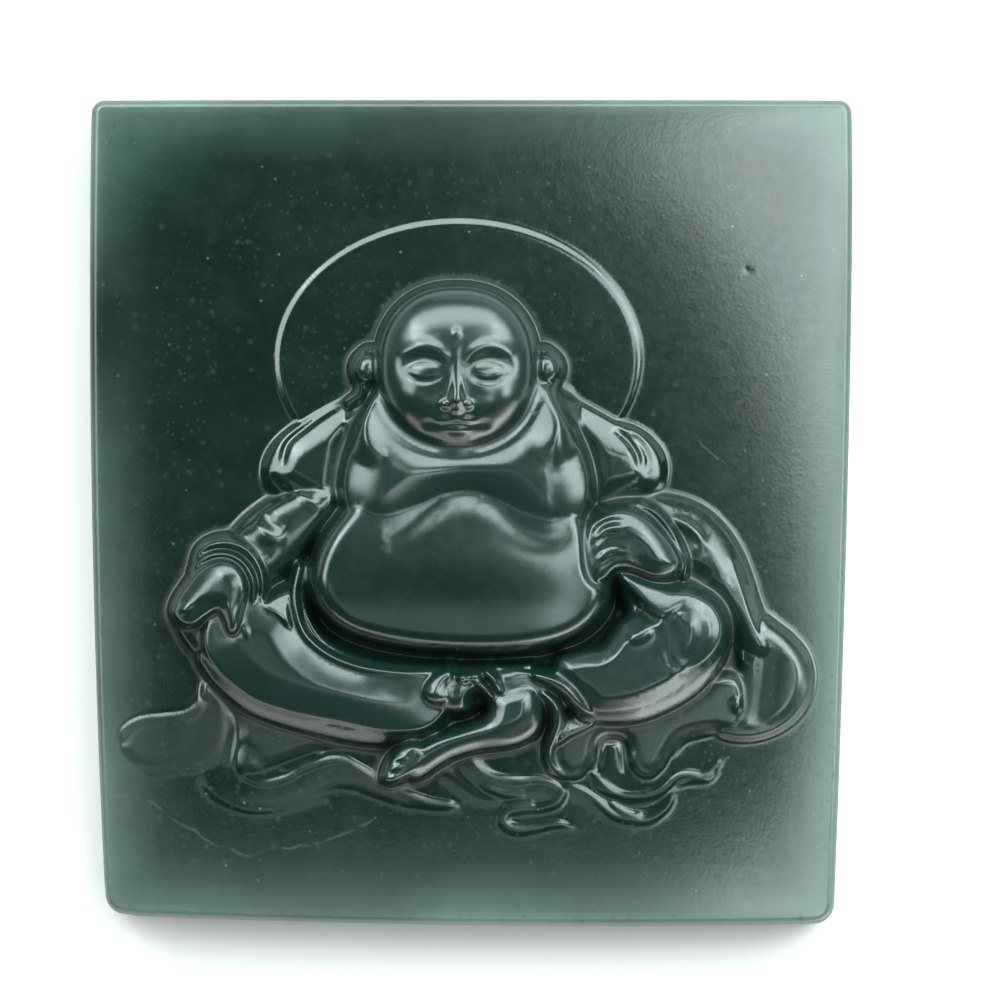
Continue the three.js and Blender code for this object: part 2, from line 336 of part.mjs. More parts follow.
function feet(R) {
  // cloth between the feet
  R.dome(514, 688, 34, 20, 31, { base: 22, e: 2.2, q: 0.7, k: 3 });
  // rear foot
  R.dome(456, 692, 34, 21, 39, { base: 20, e: 2.4, k: 4 });
  R.plate([[449, 670], [439, 674], [430, 681], [425, 690], [428, 699], [437, 702], [446, 699], [446, 690], [448, 682], [452, 676]], 47, 12, { base: 41, p: 1.1, k: 1.2, skirt: 3.0, slope: [0.0, 0.2, 437, 686] });
  R.line([[452, 682], [449, 692], [449, 702]], 3.6, 1.6);
  R.line([[462, 684], [460, 693], [460, 702]], 3.6, 1.4);
  R.dome(463, 677.5, 7.5, 6, 46, { base: 36, q: 0.8, k: 1.2 });
  R.dome(475, 676.5, 7.5, 6, 45, { base: 36, q: 0.8, k: 1.2 });
  R.bump(477, 701, 14, 17, -22, { e: 1.4 });
  R.tube([[477, 681, 4.5, 26, 41], [485, 688, 5, 26, 41], [492, 696, 4.5, 26, 38]], { e: 1.8, q: 0.8, k: 1.2 });
  R.tube([[486, 671, 5, 28, 42], [494, 679, 5.5, 28, 45], [500, 690, 5, 26, 41]], { e: 1.8, q: 0.8, k: 1.2 });
  // front foot: the straight bank, then its top
  R.plate([[542, 699], [542.5, 717], [537, 732], [523.5, 742], [506, 747], [480, 750], [455, 757], [438, 766.5], [423, 776.5], [411, 778], [405, 770], [409, 757], [422, 743], [440, 734.5], [465, 726.5], [483, 719], [489, 708], [490, 697], [504, 688], [522, 683.5], [536, 687]], 28, 9, { base: 20.3, p: 1.0, k: 0.8, cut: 3, cutw: 5, skirt: 6 });
  R.plate([[536, 700], [535, 714], [529, 725.5], [516, 734], [498, 738.5], [474, 742], [450, 749], [432, 759], [420, 767.5], [412, 768], [409, 763], [413, 754], [424, 745.5], [442, 737], [467, 729], [486, 721.5], [492.5, 710], [494, 699], [506, 691], [522, 687], [533, 691]], FOOT_TOP - 8, 13, { base: 28, p: 1.08, k: 1.0, skirt: 8, slope: [0.03, 0.0, 470, 730] });
  // toes
  R.plate([[383, 779], [386, 767], [392, 756], [401, 747], [412, 742], [424, 748], [424, 764], [412, 773], [398, 781], [388, 783]], 30, 6, { base: 24, p: 1.6, k: 1.5, skirt: 5, lean: [0.08, 0.0, 403, 762] });
  for (const [u, v, du, dv] of [[395, 777, 22, -9], [397.5, 767, 20, -8], [404, 757.5, 17, -7], [411, 749.5, 13, -5]]) {
    R.bump(u, v, 8, 5.2, 2.4, { rot: -22, e: 1.6 });
    R.line([[u - 7, v - 2.5], [u, v - 5], [u + 0.7 * du, v - 5 + 0.7 * dv]], 2.2, -1.6);
  }
}

function head(R) {
  const c = HEAD_U;
  for (const s of [-1, 1]) {
    R.tube([[c + s * 76, 352, 6, 16, 28], [c + s * 90, 354, 7, 16, 31], [c + s * 97, 368, 7, 16, 32], [c + s * 93, 384, 8, 16, 33], [c + s * 94, 396, 9, 12, 28], [c + s * 104, 405, 9, 8, 19]], { e: 1.9, q: 0.8, k: 2, skirt: 8 });
    R.dome(c + s * 88, 369, 13, 14, 41, { base: 35, q: 0.95, k: 1.2, cut: 2, cutw: 3 });
  }
  R.dome(c, 367, 80, 82, HEAD_TOP, { base: 30, p: 2.25, e: 2.2, k: 1.5, cut: 3, cutw: 4, skirt: 10 });
}

function face_forms(R) {
  const c = HEAD_U;
  for (const s of [-1, 1]) {
    R.bump(c + s * 32, 366, 30, 19, -4.2, { e: 1.8 });
    R.line([[c + s * 8, 364], [c + s * 18, 352], [c + s * 35, 346.5], [c + s * 58, 355]], 6, 2.8);
    R.bump(c + s * 32.5, 371, 21, 12, 4.2, { e: 1.4 });
    R.line([[c + s * 14, 375.5], [c + s * 24, 381], [c + s * 37, 381.5], [c + s * 51, 374.5]], 2.3, -2.2);
    R.line([[c + s * 15, 366], [c + s * 32, 359.5], [c + s * 53, 367]], 2.4, -1.2);
    R.bump(c + s * 43, 402, 34, 29, 3.6, { e: 1.8 });
    R.bump(c + s * 28, 424, 8, 7, -1.6, { e: 1.5 });
  }
  R.tube([[c, 350, 6, 66, 71], [c, 370, 7, 66, 73], [c, 388, 8.5, 65, 76], [c, 401, 11, 63, 78.5], [c, 409, 10, 60, 73]], { e: 2, q: 0.8, k: 4 });
  for (const s of [-1, 1]) {
    R.dome(c + s * 11, 404.5, 8, 7, 73.5, { base: 64, q: 0.7, k: 3 });
    R.bump(c + s * 8, 421, 16, 6, 2.5, { rot: s * 8, e: 1.5 });
  }
  R.line([[c, 413], [c, 418]], 3, -1.0);
  R.bump(c, 430, 19, 7, 3.2, { e: 1.5 });
  R.line([[c - 26, 423.5], [c - 13, 425.6], [c, 424.8], [c + 13, 425.6], [c + 26, 423.5]], 2.2, -2.4);
  R.line([[c - 13, 438.5], [c, 440], [c + 13, 438.5]], 5, -1.6);
  R.bump(c, 444, 24, 13, 3.0, { e: 1.5 });
  R.bump(c, 334, 5.5, 5.5, 2.4, { e: 1.5 });
}

function flaws(R) {
  // pit in the ground
  R.bump(747, 270, 3.0, 3.0, -0.7);
}

// ---- carved side: grid of heights, thinned to triangles ----------------------
const N = CELLS + 1;
const U = new Float64Array(N * N), V = new Float64Array(N * N);
for (let j = 0; j < N; j++) {
  for (let i = 0; i < N; i++) {
    const t = j / CELLS, s = i / CELLS;
    const v = SHEET_TOP + INSET + (SHEET_BOTTOM - SHEET_TOP - 2 * INSET) * t;
    const a = leftEdge(v) + INSET, b = rightEdge(v) - INSET, u = a + (b - a) * s;
    U[j * N + i] = u;
    V[j * N + i] = v + (bottomEdge(u) - SHEET_BOTTOM) * t;
  }
}
const relief = new Relief(U, V);
for (const carve of [halo, ribbons, under_drape, sack, legs, left_arm, capes, belly, chest, hem, right_arm, feet, head, face_forms, flaws]) carve(relief);

function soften(H, sigma) {
  const k = Math.ceil(3 * sigma), w = [];
  for (let i = -k; i <= k; i++) w.push(Math.exp(-0.5 * (i / sigma) ** 2));
  const sum = w.reduce((a, b) => a + b), clamp = (i) => Math.min(CELLS, Math.max(0, i));
  const pass = (A, at) => A.map((_, n) => {
    const i = n % N, j = (n - i) / N;
    let z = 0;
    for (let m = -k; m <= k; m++) z += w[m + k] * A[at(i, j, m)];
    return z / sum;
  });
  return pass(pass(H, (i, j, m) => j * N + clamp(i + m)), (i, j, m) => clamp(j + m) * N + i);
}
const Z = soften(relief.H, SOFTEN).map((h, n) => h + ground(U[n], V[n]));

// how far a straight face may leave the carving counts square to the surface, so steep sides weigh less
const WEIGHT = Z.map((_, n) => {
  const i = n % N, j = (n - i) / N, cell = (SHEET_RIGHT - SHEET_LEFT) / CELLS;
  const x = (Z[j * N + Math.min(i + 1, CELLS)] - Z[j * N + Math.max(i - 1, 0)]) / (2 * cell), y = (Z[Math.min(j + 1, CELLS) * N + i] - Z[Math.max(j - 1, 0) * N + i]) / (2 * cell);
  return 1 / Math.sqrt(1 + x * x + y * y);
});

class Facets {
  // triangles over the grid; the point farthest off is added again and again, keeping the triangles well shaped
  constructor() {
    this.at = []; this.tri = []; this.half = []; this.far = []; this.off = []; this.heap = []; this.place = []; this.fresh = [];
    const [a, b, c, d] = [[0, 0], [CELLS, 0], [0, CELLS], [CELLS, CELLS]].map(([x, y]) => this.point(x, y));
    const t = this.triangle(d, a, c, -1, -1, -1);
    this.triangle(a, d, b, t, -1, -1);
    this.measure();
  }

  point(x, y) { return this.at.push([x, y]) - 1; }

  triangle(a, b, c, ab, bc, ca, e = this.tri.length) {
    this.tri[e] = a; this.tri[e + 1] = b; this.tri[e + 2] = c;
    this.half[e] = ab; this.half[e + 1] = bc; this.half[e + 2] = ca;
    if (ab >= 0) this.half[ab] = e;
    if (bc >= 0) this.half[bc] = e + 1;
    if (ca >= 0) this.half[ca] = e + 2;
    this.place[e / 3] = -1;
    this.fresh.push(e / 3);
    return e;
  }

  measure() {
    for (const t of new Set(this.fresh)) {
      const [a, b, c] = [0, 1, 2].map((k) => this.at[this.tri[3 * t + k]]);
      const [za, zb, zc] = [a, b, c].map(([x, y]) => Z[y * N + x]);
      const area = (b[0] - a[0]) * (c[1] - a[1]) - (b[1] - a[1]) * (c[0] - a[0]);
      let worst = 0, where = [a[0], a[1]];
      for (let y = Math.min(a[1], b[1], c[1]); y <= Math.max(a[1], b[1], c[1]); y++) {
        for (let x = Math.min(a[0], b[0], c[0]); x <= Math.max(a[0], b[0], c[0]); x++) {
          const wa = ((b[0] - x) * (c[1] - y) - (b[1] - y) * (c[0] - x)) / area, wb = ((c[0] - x) * (a[1] - y) - (c[1] - y) * (a[0] - x)) / area, wc = 1 - wa - wb;
          if (wa < -1e-9 || wb < -1e-9 || wc < -1e-9) continue;
          const e = Math.abs(wa * za + wb * zb + wc * zc - Z[y * N + x]) * WEIGHT[y * N + x];
          if (e > worst) { worst = e; where = [x, y]; }
        }
      }
      if ([a, b, c].some((p) => p[0] === where[0] && p[1] === where[1])) worst = 0;
      this.far[t] = where;
      this.off[t] = worst;
      this.push(t);
    }
    this.fresh = [];
  }

  swap(i, j) {
    const a = this.heap[i], b = this.heap[j];
    this.heap[i] = b; this.heap[j] = a; this.place[a] = j; this.place[b] = i;
  }

  lift(i) {
    for (let p = (i - 1) >> 1; i > 0 && this.off[this.heap[i]] > this.off[this.heap[p]]; i = p, p = (i - 1) >> 1) this.swap(i, p);
  }

  sink(i) {
    for (;;) {
      let k = 2 * i + 1;
      if (k >= this.heap.length) return;
      if (k + 1 < this.heap.length && this.off[this.heap[k + 1]] > this.off[this.heap[k]]) k++;
      if (this.off[this.heap[k]] <= this.off[this.heap[i]]) return;
      this.swap(i, k);
      i = k;
    }
  }

  push(t) { this.place[t] = this.heap.push(t) - 1; this.lift(this.place[t]); }

  drop(t) {
    const i = this.place[t];
    if (i === undefined || i < 0) return;
    const end = this.heap.length - 1;
    if (i !== end) this.swap(i, end);
    this.heap.pop();
    this.place[t] = -1;
    if (i < end) { this.sink(i); this.lift(i); }
  }

  refine() {
    const t = this.heap[0], [x, y] = this.far[t];
    this.drop(t);
    const e = 3 * t, p = [0, 1, 2].map((k) => this.tri[e + k]), q = p.map((k) => this.at[k]), n = this.point(x, y);
    const turn = (a, b) => (b[0] - a[0]) * (y - a[1]) - (b[1] - a[1]) * (x - a[0]);
    for (let k = 0; k < 3; k++) if (turn(q[k], q[(k + 1) % 3]) === 0) { this.onEdge(n, e + k); this.measure(); return; }
    const h = [0, 1, 2].map((k) => this.half[e + k]);
    const t0 = this.triangle(p[0], p[1], n, h[0], -1, -1, e);
    const t1 = this.triangle(p[1], p[2], n, h[1], -1, t0 + 1);
    const t2 = this.triangle(p[2], p[0], n, h[2], t0 + 2, t1 + 1);
    for (const k of [t0, t1, t2]) this.tidy(k);
    this.measure();
  }

  onEdge(n, a) {
    const a0 = a - a % 3, al = a0 + (a + 1) % 3, ar = a0 + (a + 2) % 3, p0 = this.tri[ar], pr = this.tri[a], pl = this.tri[al];
    const hal = this.half[al], har = this.half[ar], b = this.half[a];
    if (b < 0) {
      const t0 = this.triangle(n, p0, pr, -1, har, -1, a0), t1 = this.triangle(p0, n, pl, t0, -1, hal);
      this.tidy(t0 + 1); this.tidy(t1 + 2);
      return;
    }
    const b0 = b - b % 3, bl = b0 + (b + 2) % 3, br = b0 + (b + 1) % 3, p1 = this.tri[bl], hbl = this.half[bl], hbr = this.half[br];
    this.drop(b0 / 3);
    const t0 = this.triangle(p0, pr, n, har, -1, -1, a0), t1 = this.triangle(pr, p1, n, hbr, -1, t0 + 1, b0);
    const t2 = this.triangle(p1, pl, n, hbl, -1, t1 + 1), t3 = this.triangle(pl, p0, n, hal, t0 + 2, t2 + 1);
    for (const k of [t0, t1, t2, t3]) this.tidy(k);
  }

  tidy(a) {
    const b = this.half[a];
    if (b < 0) return;
    const a0 = a - a % 3, b0 = b - b % 3, al = a0 + (a + 1) % 3, ar = a0 + (a + 2) % 3, bl = b0 + (b + 2) % 3, br = b0 + (b + 1) % 3;
    const p0 = this.tri[ar], pr = this.tri[a], pl = this.tri[al], p1 = this.tri[bl];
    const [x, y] = this.at[p1], rel = [p0, pr, pl].map((k) => [this.at[k][0] - x, this.at[k][1] - y, (this.at[k][0] - x) ** 2 + (this.at[k][1] - y) ** 2]);
    const [d, e, f] = rel;
    if (d[0] * (e[1] * f[2] - e[2] * f[1]) - d[1] * (e[0] * f[2] - e[2] * f[0]) + d[2] * (e[0] * f[1] - e[1] * f[0]) >= 0) return;
    const hal = this.half[al], har = this.half[ar], hbl = this.half[bl], hbr = this.half[br];
    this.drop(a0 / 3); this.drop(b0 / 3);
    const t0 = this.triangle(p0, p1, pl, -1, hbl, hal, a0), t1 = this.triangle(p1, p0, pr, t0, har, hbr, b0);
    this.tidy(t0 + 1); this.tidy(t1 + 2);
  }
}

const facets = new Facets();
while (facets.tri.length / 3 < FACES) facets.refine();
const carved = [];
for (let t = 0; t < facets.tri.length; t += 3) carved.push([0, 1, 2].map((k) => { const [x, y] = facets.at[facets.tri[t + k]]; return y * N + x; }));

// ---- rim, back and closing --------------------------------------------------
const points = [], index = new Map(), faces = [];
const add = (u, v, z) => points.push([u, v, z]) - 1;
const gridPoint = (n) => {
  if (!index.has(n)) index.set(n, add(U[n], V[n], Z[n]));
  return index.get(n);
};
const face = (a, b, c) => { if (a !== b && b !== c && a !== c) faces.push([a, b, c]); };
for (const t of carved) face(...t.map(gridPoint));

// grid points met along the border, clockwise on the sheet from the upper left
const border = [...index.keys()].map((n) => {
  const i = n % N, j = (n - i) / N;
  if (j === 0 && i < CELLS) return [i / CELLS, n];
  if (i === CELLS && j < CELLS) return [1 + j / CELLS, n];
  if (j === CELLS && i > 0) return [2 + 1 - i / CELLS, n];
  if (i === 0 && j > 0) return [3 + 1 - j / CELLS, n];
  return null;
}).filter(Boolean).sort((a, b) => a[0] - b[0]).map(([p, n]) => [p, gridPoint(n)]);

// plan outline: each corner an arc, each side a bowed line; [position 0..4, u, v, outward u, outward v]
const ARC = 6, SIDE = 8;
function rim(inset) {
  const out = [];
  const corners = [
    [leftEdge(SHEET_TOP) + TOP_CORNER, topEdge() + TOP_CORNER, TOP_CORNER, 180],
    [rightEdge(SHEET_TOP) - TOP_CORNER, topEdge() + TOP_CORNER, TOP_CORNER, 270],
    [rightEdge(SHEET_BOTTOM - BOTTOM_CORNER) - BOTTOM_CORNER, bottomEdge(SHEET_RIGHT) - BOTTOM_CORNER, BOTTOM_CORNER, 0],
    [leftEdge(SHEET_BOTTOM - BOTTOM_CORNER) + BOTTOM_CORNER, bottomEdge(SHEET_LEFT) - BOTTOM_CORNER, BOTTOM_CORNER, 90],
  ];
  const sides = [
    (f, a, b) => { const u = a + (b - a) * f; return [u, topEdge(u) + inset]; },
    (f, a, b) => { const v = a + (b - a) * f; return [rightEdge(v) - inset, v]; },
    (f, a, b) => { const u = a + (b - a) * f; return [u, bottomEdge(u) - inset]; },
    (f, a, b) => { const v = a + (b - a) * f; return [leftEdge(v) + inset, v]; },
  ];
  corners.forEach(([cu, cv, r, turn], k) => {
    for (let n = 0; n <= ARC; n++) {
      const a = (turn + 90 * n / ARC) * Math.PI / 180;
      out.push([k - 0.02 + 0.04 * n / ARC, cu + Math.cos(a) * (r - inset), cv + Math.sin(a) * (r - inset)]);
    }
    const next = corners[(k + 1) % 4], along = k % 2 ? 1 : 0;
    for (let n = 1; n < SIDE; n++) {
      const f = n / SIDE, [u, v] = sides[k](f, along ? cv : cu, along ? next[1] : next[0]);
      out.push([k + 0.02 + 0.96 * f, u, v]);
    }
  });
  return out;
}

function ring(inset, height) {
  return rim(inset).map(([p, u, v]) => [p, add(u, v, height(u, v))]);
}
function strip(inner, outer) {
  // joins two closed rings, inner to outer, in step with their positions
  const a = inner.length, b = outer.length;
  let i = 0, j = 0;
  const pa = (n) => inner[n % a][0] + 4 * Math.floor(n / a), pb = (n) => outer[n % b][0] + 4 * Math.floor(n / b);
  while (i < a || j < b) {
    const p = inner[i % a][1], q = outer[j % b][1];
    if (j >= b || (i < a && pa(i + 1) <= pb(j + 1))) { face(p, inner[(i + 1) % a][1], q); i++; } else { face(p, outer[(j + 1) % b][1], q); j++; }
  }
}
const BACK = -SLAB_THICKNESS / UNIT;
const drop = (inset) => FRONT_ROUND * (1 - Math.sqrt(1 - (1 - inset / FRONT_ROUND) ** 2));
const rings = [border];
for (const turn of [0, 30, 60, 90]) {
  const inset = FRONT_ROUND * (1 - Math.sin(turn * Math.PI / 180));
  rings.push(ring(inset, (u, v) => ground(u, v) - drop(inset)));
}
for (const turn of [0, 45, 90]) {
  const inset = BACK_ROUND * (1 - Math.cos(turn * Math.PI / 180));
  rings.push(ring(inset, () => BACK + BACK_ROUND * (1 - Math.sin(turn * Math.PI / 180))));
}
for (let n = 1; n < rings.length; n++) strip(rings[n - 1], rings[n]);
const last = rings[rings.length - 1], hub = add(CENTRE_U, CENTRE_V, BACK);
last.forEach(([, p], n) => face(p, last[(n + 1) % last.length][1], hub));

// ---- sheet to millimetres, origin at the middle of the back -------------------
const lo = [Infinity, Infinity], hi = [-Infinity, -Infinity];
for (const p of points) for (const k of [0, 1]) { lo[k] = Math.min(lo[k], p[k]); hi[k] = Math.max(hi[k], p[k]); }
const geometry = new THREE.BufferGeometry();
geometry.setAttribute('position', new THREE.Float32BufferAttribute(points.flatMap(([u, v, z]) => [
  (u - (lo[0] + hi[0]) / 2) * UNIT, ((lo[1] + hi[1]) / 2 - v) * UNIT, (z - BACK) * UNIT,
]), 3));
geometry.setIndex(faces.flatMap(([a, b, c]) => [a, b, c]));
geometry.computeVertexNormals();

const plaque = new THREE.Mesh(geometry, new THREE.MeshStandardMaterial(STONE));
plaque.name = 'jade_plaque';
const group = new THREE.Group();
group.name = 'jade_plaque_pendant';
group.add(plaque);
export default group;
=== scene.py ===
"""Looks of a carved jade plaque lying on its back: the fine relief as one closed mesh, its stone, floor, light and camera.
The carving is laid out on a design sheet (u to the right, v downwards); UNIT turns sheet units into metres."""
import math
import bpy
import numpy as np
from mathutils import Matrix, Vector


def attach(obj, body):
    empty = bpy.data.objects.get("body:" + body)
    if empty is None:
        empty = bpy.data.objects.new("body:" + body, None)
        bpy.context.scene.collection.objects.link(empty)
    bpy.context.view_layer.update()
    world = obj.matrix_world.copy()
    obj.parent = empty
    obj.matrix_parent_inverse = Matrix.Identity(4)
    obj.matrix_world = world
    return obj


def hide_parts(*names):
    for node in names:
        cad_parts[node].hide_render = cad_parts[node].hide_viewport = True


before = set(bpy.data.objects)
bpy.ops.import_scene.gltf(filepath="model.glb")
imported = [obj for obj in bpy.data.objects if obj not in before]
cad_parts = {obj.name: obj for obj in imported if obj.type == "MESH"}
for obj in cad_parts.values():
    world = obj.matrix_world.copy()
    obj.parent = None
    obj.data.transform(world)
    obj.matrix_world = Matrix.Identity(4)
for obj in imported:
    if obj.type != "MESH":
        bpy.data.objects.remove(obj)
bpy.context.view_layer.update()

PLAQUE_HEIGHT = 0.050  # m, top edge to bottom edge
SLAB_THICKNESS = 0.006  # m, back to the ground of the carving
SHEET_TOP, SHEET_BOTTOM = 99.0, 927.0
SHEET_LEFT, SHEET_RIGHT = 89.0, 853.5
UNIT = PLAQUE_HEIGHT/(SHEET_BOTTOM-SHEET_TOP)
CENTRE_U, CENTRE_V = (SHEET_LEFT+SHEET_RIGHT)/2, (SHEET_TOP+SHEET_BOTTOM)/2
TOP_CORNER, BOTTOM_CORNER = 13.0, 20.0
FRONT_ROUND, BACK_ROUND = 8.0, 6.0
INSET = 16.0
CELLS = 1024
SOFTEN = 1.8  # sheet units
FACES = 186000
HALO_TOP = 2.6  # disc behind the head
HEAD_TOP = 72  # middle of the head
CHEST_TOP = 51  # breastbone
BELLY_TOP = 42  # belly, before its swelling
LEG_TOP = 42  # crossed legs
SLEEVE_TOP = 25  # sleeves
CAPE_TOP = 18  # robe over the shoulders
HAND_TOP = 50  # backs of the hands
FOOT_TOP = 42  # front foot
SACK_TOP = 19  # cloth sack
WALL = 0.9  # slope of the outer side walls
HEAD_U = 457  # upright axis of the head

# ---- carving tools on a height sheet
def smax(a, b, k):
    h = np.clip(0.5 + 0.5*(a-b)/k, 0, 1)
    return b + (a-b)*h + k*h*(1-h)

def catmull(pts, n=10, closed=False):
    p = np.asarray(pts, float)
    m = len(p)
    out = []
    segs = m if closed else m-1
    for i in range(segs):
        if closed:
            a, b, c, d = p[(i-1) % m], p[i], p[(i+1) % m], p[(i+2) % m]
        else:
            b, c = p[i], p[i+1]
            a = p[i-1] if i > 0 else 2*b-c
            d = p[i+2] if i+2 < m else 2*c-b
        for t in np.arange(n)/n:
            out.append(0.5*((2*b)+(c-a)*t+(2*a-5*b+4*c-d)*t*t+(3*b-a-3*c+d)*t**3))
    if not closed:
        out.append(p[-1])
    return np.array(out)

class Relief:
    def __init__(self, U, V):
        self.U, self.V = U, V
        self.H = np.zeros_like(U)

    def box(self, lo_u, hi_u, lo_v, hi_v):
        """Index mask of the points inside a box. U, V may be any shape."""
        m = (self.U >= lo_u) & (self.U <= hi_u) & (self.V >= lo_v) & (self.V <= hi_v)
        return np.nonzero(m)

    def near(self, path, reach, closed=False):
        """For points within reach of a polyline: index, distance, side, attributes at the nearest point."""
        lo, hi = path[:, :2].min(0)-reach, path[:, :2].max(0)+reach
        idx = self.box(lo[0], hi[0], lo[1], hi[1])
        u, v = self.U[idx], self.V[idx]
        best = np.full(u.shape, 1e18)
        side = np.ones(u.shape)
        at = np.zeros(u.shape+(path.shape[1]-2,))
        n = len(path)
        for i in range(n if closed else n-1):
            a, b = path[i], path[(i+1) % n]
            e = b[:2]-a[:2]
            L = e@e
            if L < 1e-12:
                continue
            pu, pv = u-a[0], v-a[1]
            t = np.clip((pu*e[0]+pv*e[1])/L, 0, 1)
            du, dv = pu-t*e[0], pv-t*e[1]
            d2 = du*du+dv*dv
            k = d2 < best
            best[k] = d2[k]
            side[k] = np.where(e[0]*pv[k]-e[1]*pu[k] >= 0, 1.0, -1.0)
            if at.shape[-1]:
                at[k] = a[2:]+(b[2:]-a[2:])*t[k][:, None]
        return idx, np.sqrt(best), side, at

    def put(self, idx, z, out, k=3.0, cut=0.0, cutw=6.0):
        """Joins a form to the surface: lowers the surface round its outline by cut, then takes the smooth maximum."""
        h = self.H[idx]
        if cut:
            h = h - cut*np.exp(-(np.maximum(out, 0)/cutw)**2)*(z < h+cut)
        self.H[idx] = smax(h, z, k)

    def dome(self, cu, cv, ru, rv, top, base=-6.0, rot=0.0, p=2.0, e=2.0, q=0.5, k=3.0, cut=0.0, cutw=6.0, skirt=4.0):
        """Superellipse dome, base at its rim, top at its crown."""
        R = max(ru, rv)*1.3+20
        idx = self.box(cu-R, cu+R, cv-R, cv+R)
        a = np.radians(rot)
        x, y = self.U[idx]-cu, self.V[idx]-cv
        X, Y = x*np.cos(a)+y*np.sin(a), -x*np.sin(a)+y*np.cos(a)
        r = ((np.abs(X)/ru)**p+(np.abs(Y)/rv)**p)**(1/p)
        inn = np.clip(1-r**e, 0, None)
        out = (r-1)*min(ru, rv)
        z = np.where(r < 1, base+(top-base)*inn**q, base-skirt*out)
        self.put(idx, z, out, k, cut, cutw)

    def tube(self, pts, n=10, e=2.0, q=0.5, k=3.0, cut=0.0, cutw=6.0, tilt=0.0, skirt=4.0):
        """Rounded band along a curve. Each point: u, v, half width, base, top."""
        path = catmull(pts, n)
        reach = path[:, 2].max()+22
        idx, d, side, at = self.near(path, reach)
        w, base, top = at[:, 0], at[:, 1], at[:, 2]
        r = d/np.maximum(w, 0.5)
        z = np.where(r < 1, base+(top-base)*np.clip(1-r**e, 0, None)**q, base-skirt*(d-w))
        if tilt:
            z = z+np.where(r < 1, tilt*side*r, tilt*side)
        self.put(idx, z, d-w, k, cut, cutw)

    def plate(self, pts, top, bevel=8.0, base=0.0, n=8, p=2.0, k=3.0, cut=0.0, cutw=6.0, skirt=4.0, slope=None, crown=None, lean=None):
        """Form with a rounded edge inside a closed curve. slope: (du, dv, c_u, c_v) tilts its top, crown: (c_u, c_v, r_u, r_v, h, power across) swells it, lean: as slope, tilts the whole form."""
        path = catmull(pts, n, True)
        reach = 26
        lo, hi = path.min(0)-reach, path.max(0)+reach
        idx, d, side, at = self.near(path, reach, True)
        u, v = self.U[idx], self.V[idx]
        ins = np.zeros(u.shape, bool)
        m = len(path)
        for i in range(m):
            a, b = path[i], path[(i+1) % m]
            c = (a[1] > v) != (b[1] > v)
            if c.any():
                x = a[0]+(v-a[1])/(b[1]-a[1]+1e-30)*(b[0]-a[0])
                ins ^= c & (u < x)
        s = np.where(ins, -d, d)
        t = np.clip(-s/bevel, 0, 1)
        T = top if slope is None else top+(u-slope[2])*slope[0]+(v-slope[3])*slope[1]
        if crown:
            e = crown[5] if len(crown) > 5 else 2
            T = T+crown[4]*(1-np.abs((u-crown[0])/crown[2])**e-((v-crown[1])/crown[3])**2)
        z = np.where(ins, base+(T-base)*(1-(1-t)**p)**(1/p), base-skirt*d)
        if lean:
            z = z+(u-lean[2])*lean[0]+(v-lean[3])*lean[1]
        self.put(idx, z, s, k, cut, cutw)

    def line(self, pts, width, height, n=10, taper=True, p=2.0):
        """Raised (+) or cut (-) stroke along a curve, fading at its ends."""
        path = catmull(pts, n)
        s = np.linspace(0, 1, len(path))
        f = np.sin(np.pi*np.clip(s, 0, 1))**0.5 if taper else np.ones(len(path))
        if taper == 'end':
            f = np.clip((1-s)/0.35, 0, 1)
        if taper == 'start':
            f = np.clip(s/0.35, 0, 1)
        path = np.column_stack([path[:, :2], f])
        idx, d, side, at = self.near(path, width*3)
        self.H[idx] += height*at[:, 0]*np.exp(-(d/width)**p)

    def bank(self, pts, slope, n=10, k=1.5, cut=0.0, cutw=6.0):
        """Straight-sided bank along a curve. Each point: u, v, half width, top."""
        path = catmull(pts, n)
        idx, d, side, at = self.near(path, path[:, 2].max()+22)
        w, top = at[:, 0], at[:, 1]
        z = np.minimum(top, (w-d)*slope)
        self.put(idx, z, d-w, k, cut, cutw)

    def moat(self, cu, cv, ru, rv, floor, slope, p=2.0, k=1.5):
        """Conical hollow round an ellipse: floor at the ellipse, rising outwards at slope."""
        R = max(ru, rv)+40
        idx = self.box(cu-R, cu+R, cv-R, cv+R)
        r = ((np.abs(self.U[idx]-cu)/ru)**p+(np.abs(self.V[idx]-cv)/rv)**p)**(1/p)
        z = floor+slope*np.maximum((r-1)*min(ru, rv), 0)
        self.H[idx] = -smax(-self.H[idx], -z, k)

    def bump(self, cu, cv, ru, rv, height, rot=0.0, e=2.0):
        """Swelling (+) or hollow (-) added to the surface."""
        R = max(ru, rv)
        idx = self.box(cu-R, cu+R, cv-R, cv+R)
        a = np.radians(rot)
        x, y = self.U[idx]-cu, self.V[idx]-cv
        X, Y = x*np.cos(a)+y*np.sin(a), -x*np.sin(a)+y*np.cos(a)
        r2 = (X/ru)**2+(Y/rv)**2
        self.H[idx] += height*np.clip(1-r2, 0, None)**e

    def disc(self, cu, cv, ru, rv, top, bevel):
        """Flat elliptic disc with a chamfered rim."""
        idx = self.box(cu-ru-20, cu+ru+20, cv-rv-20, cv+rv+20)
        x, y = self.U[idx]-cu, self.V[idx]-cv
        r = np.sqrt((x/ru)**2+(y/rv)**2)+1e-9
        g = np.sqrt((x/ru**2)**2+(y/rv**2)**2)/r+1e-9
        s = (r-1)/g
        t = np.clip(-s/bevel, 0, 1)
        z = np.where(s < 0, top*t, -4*s)
        self.put(idx, z, s, 0.6)

# ---- forms of the carving, back to front
def halo(R):
    R.disc(458, 359, 184, 141, HALO_TOP, 6)

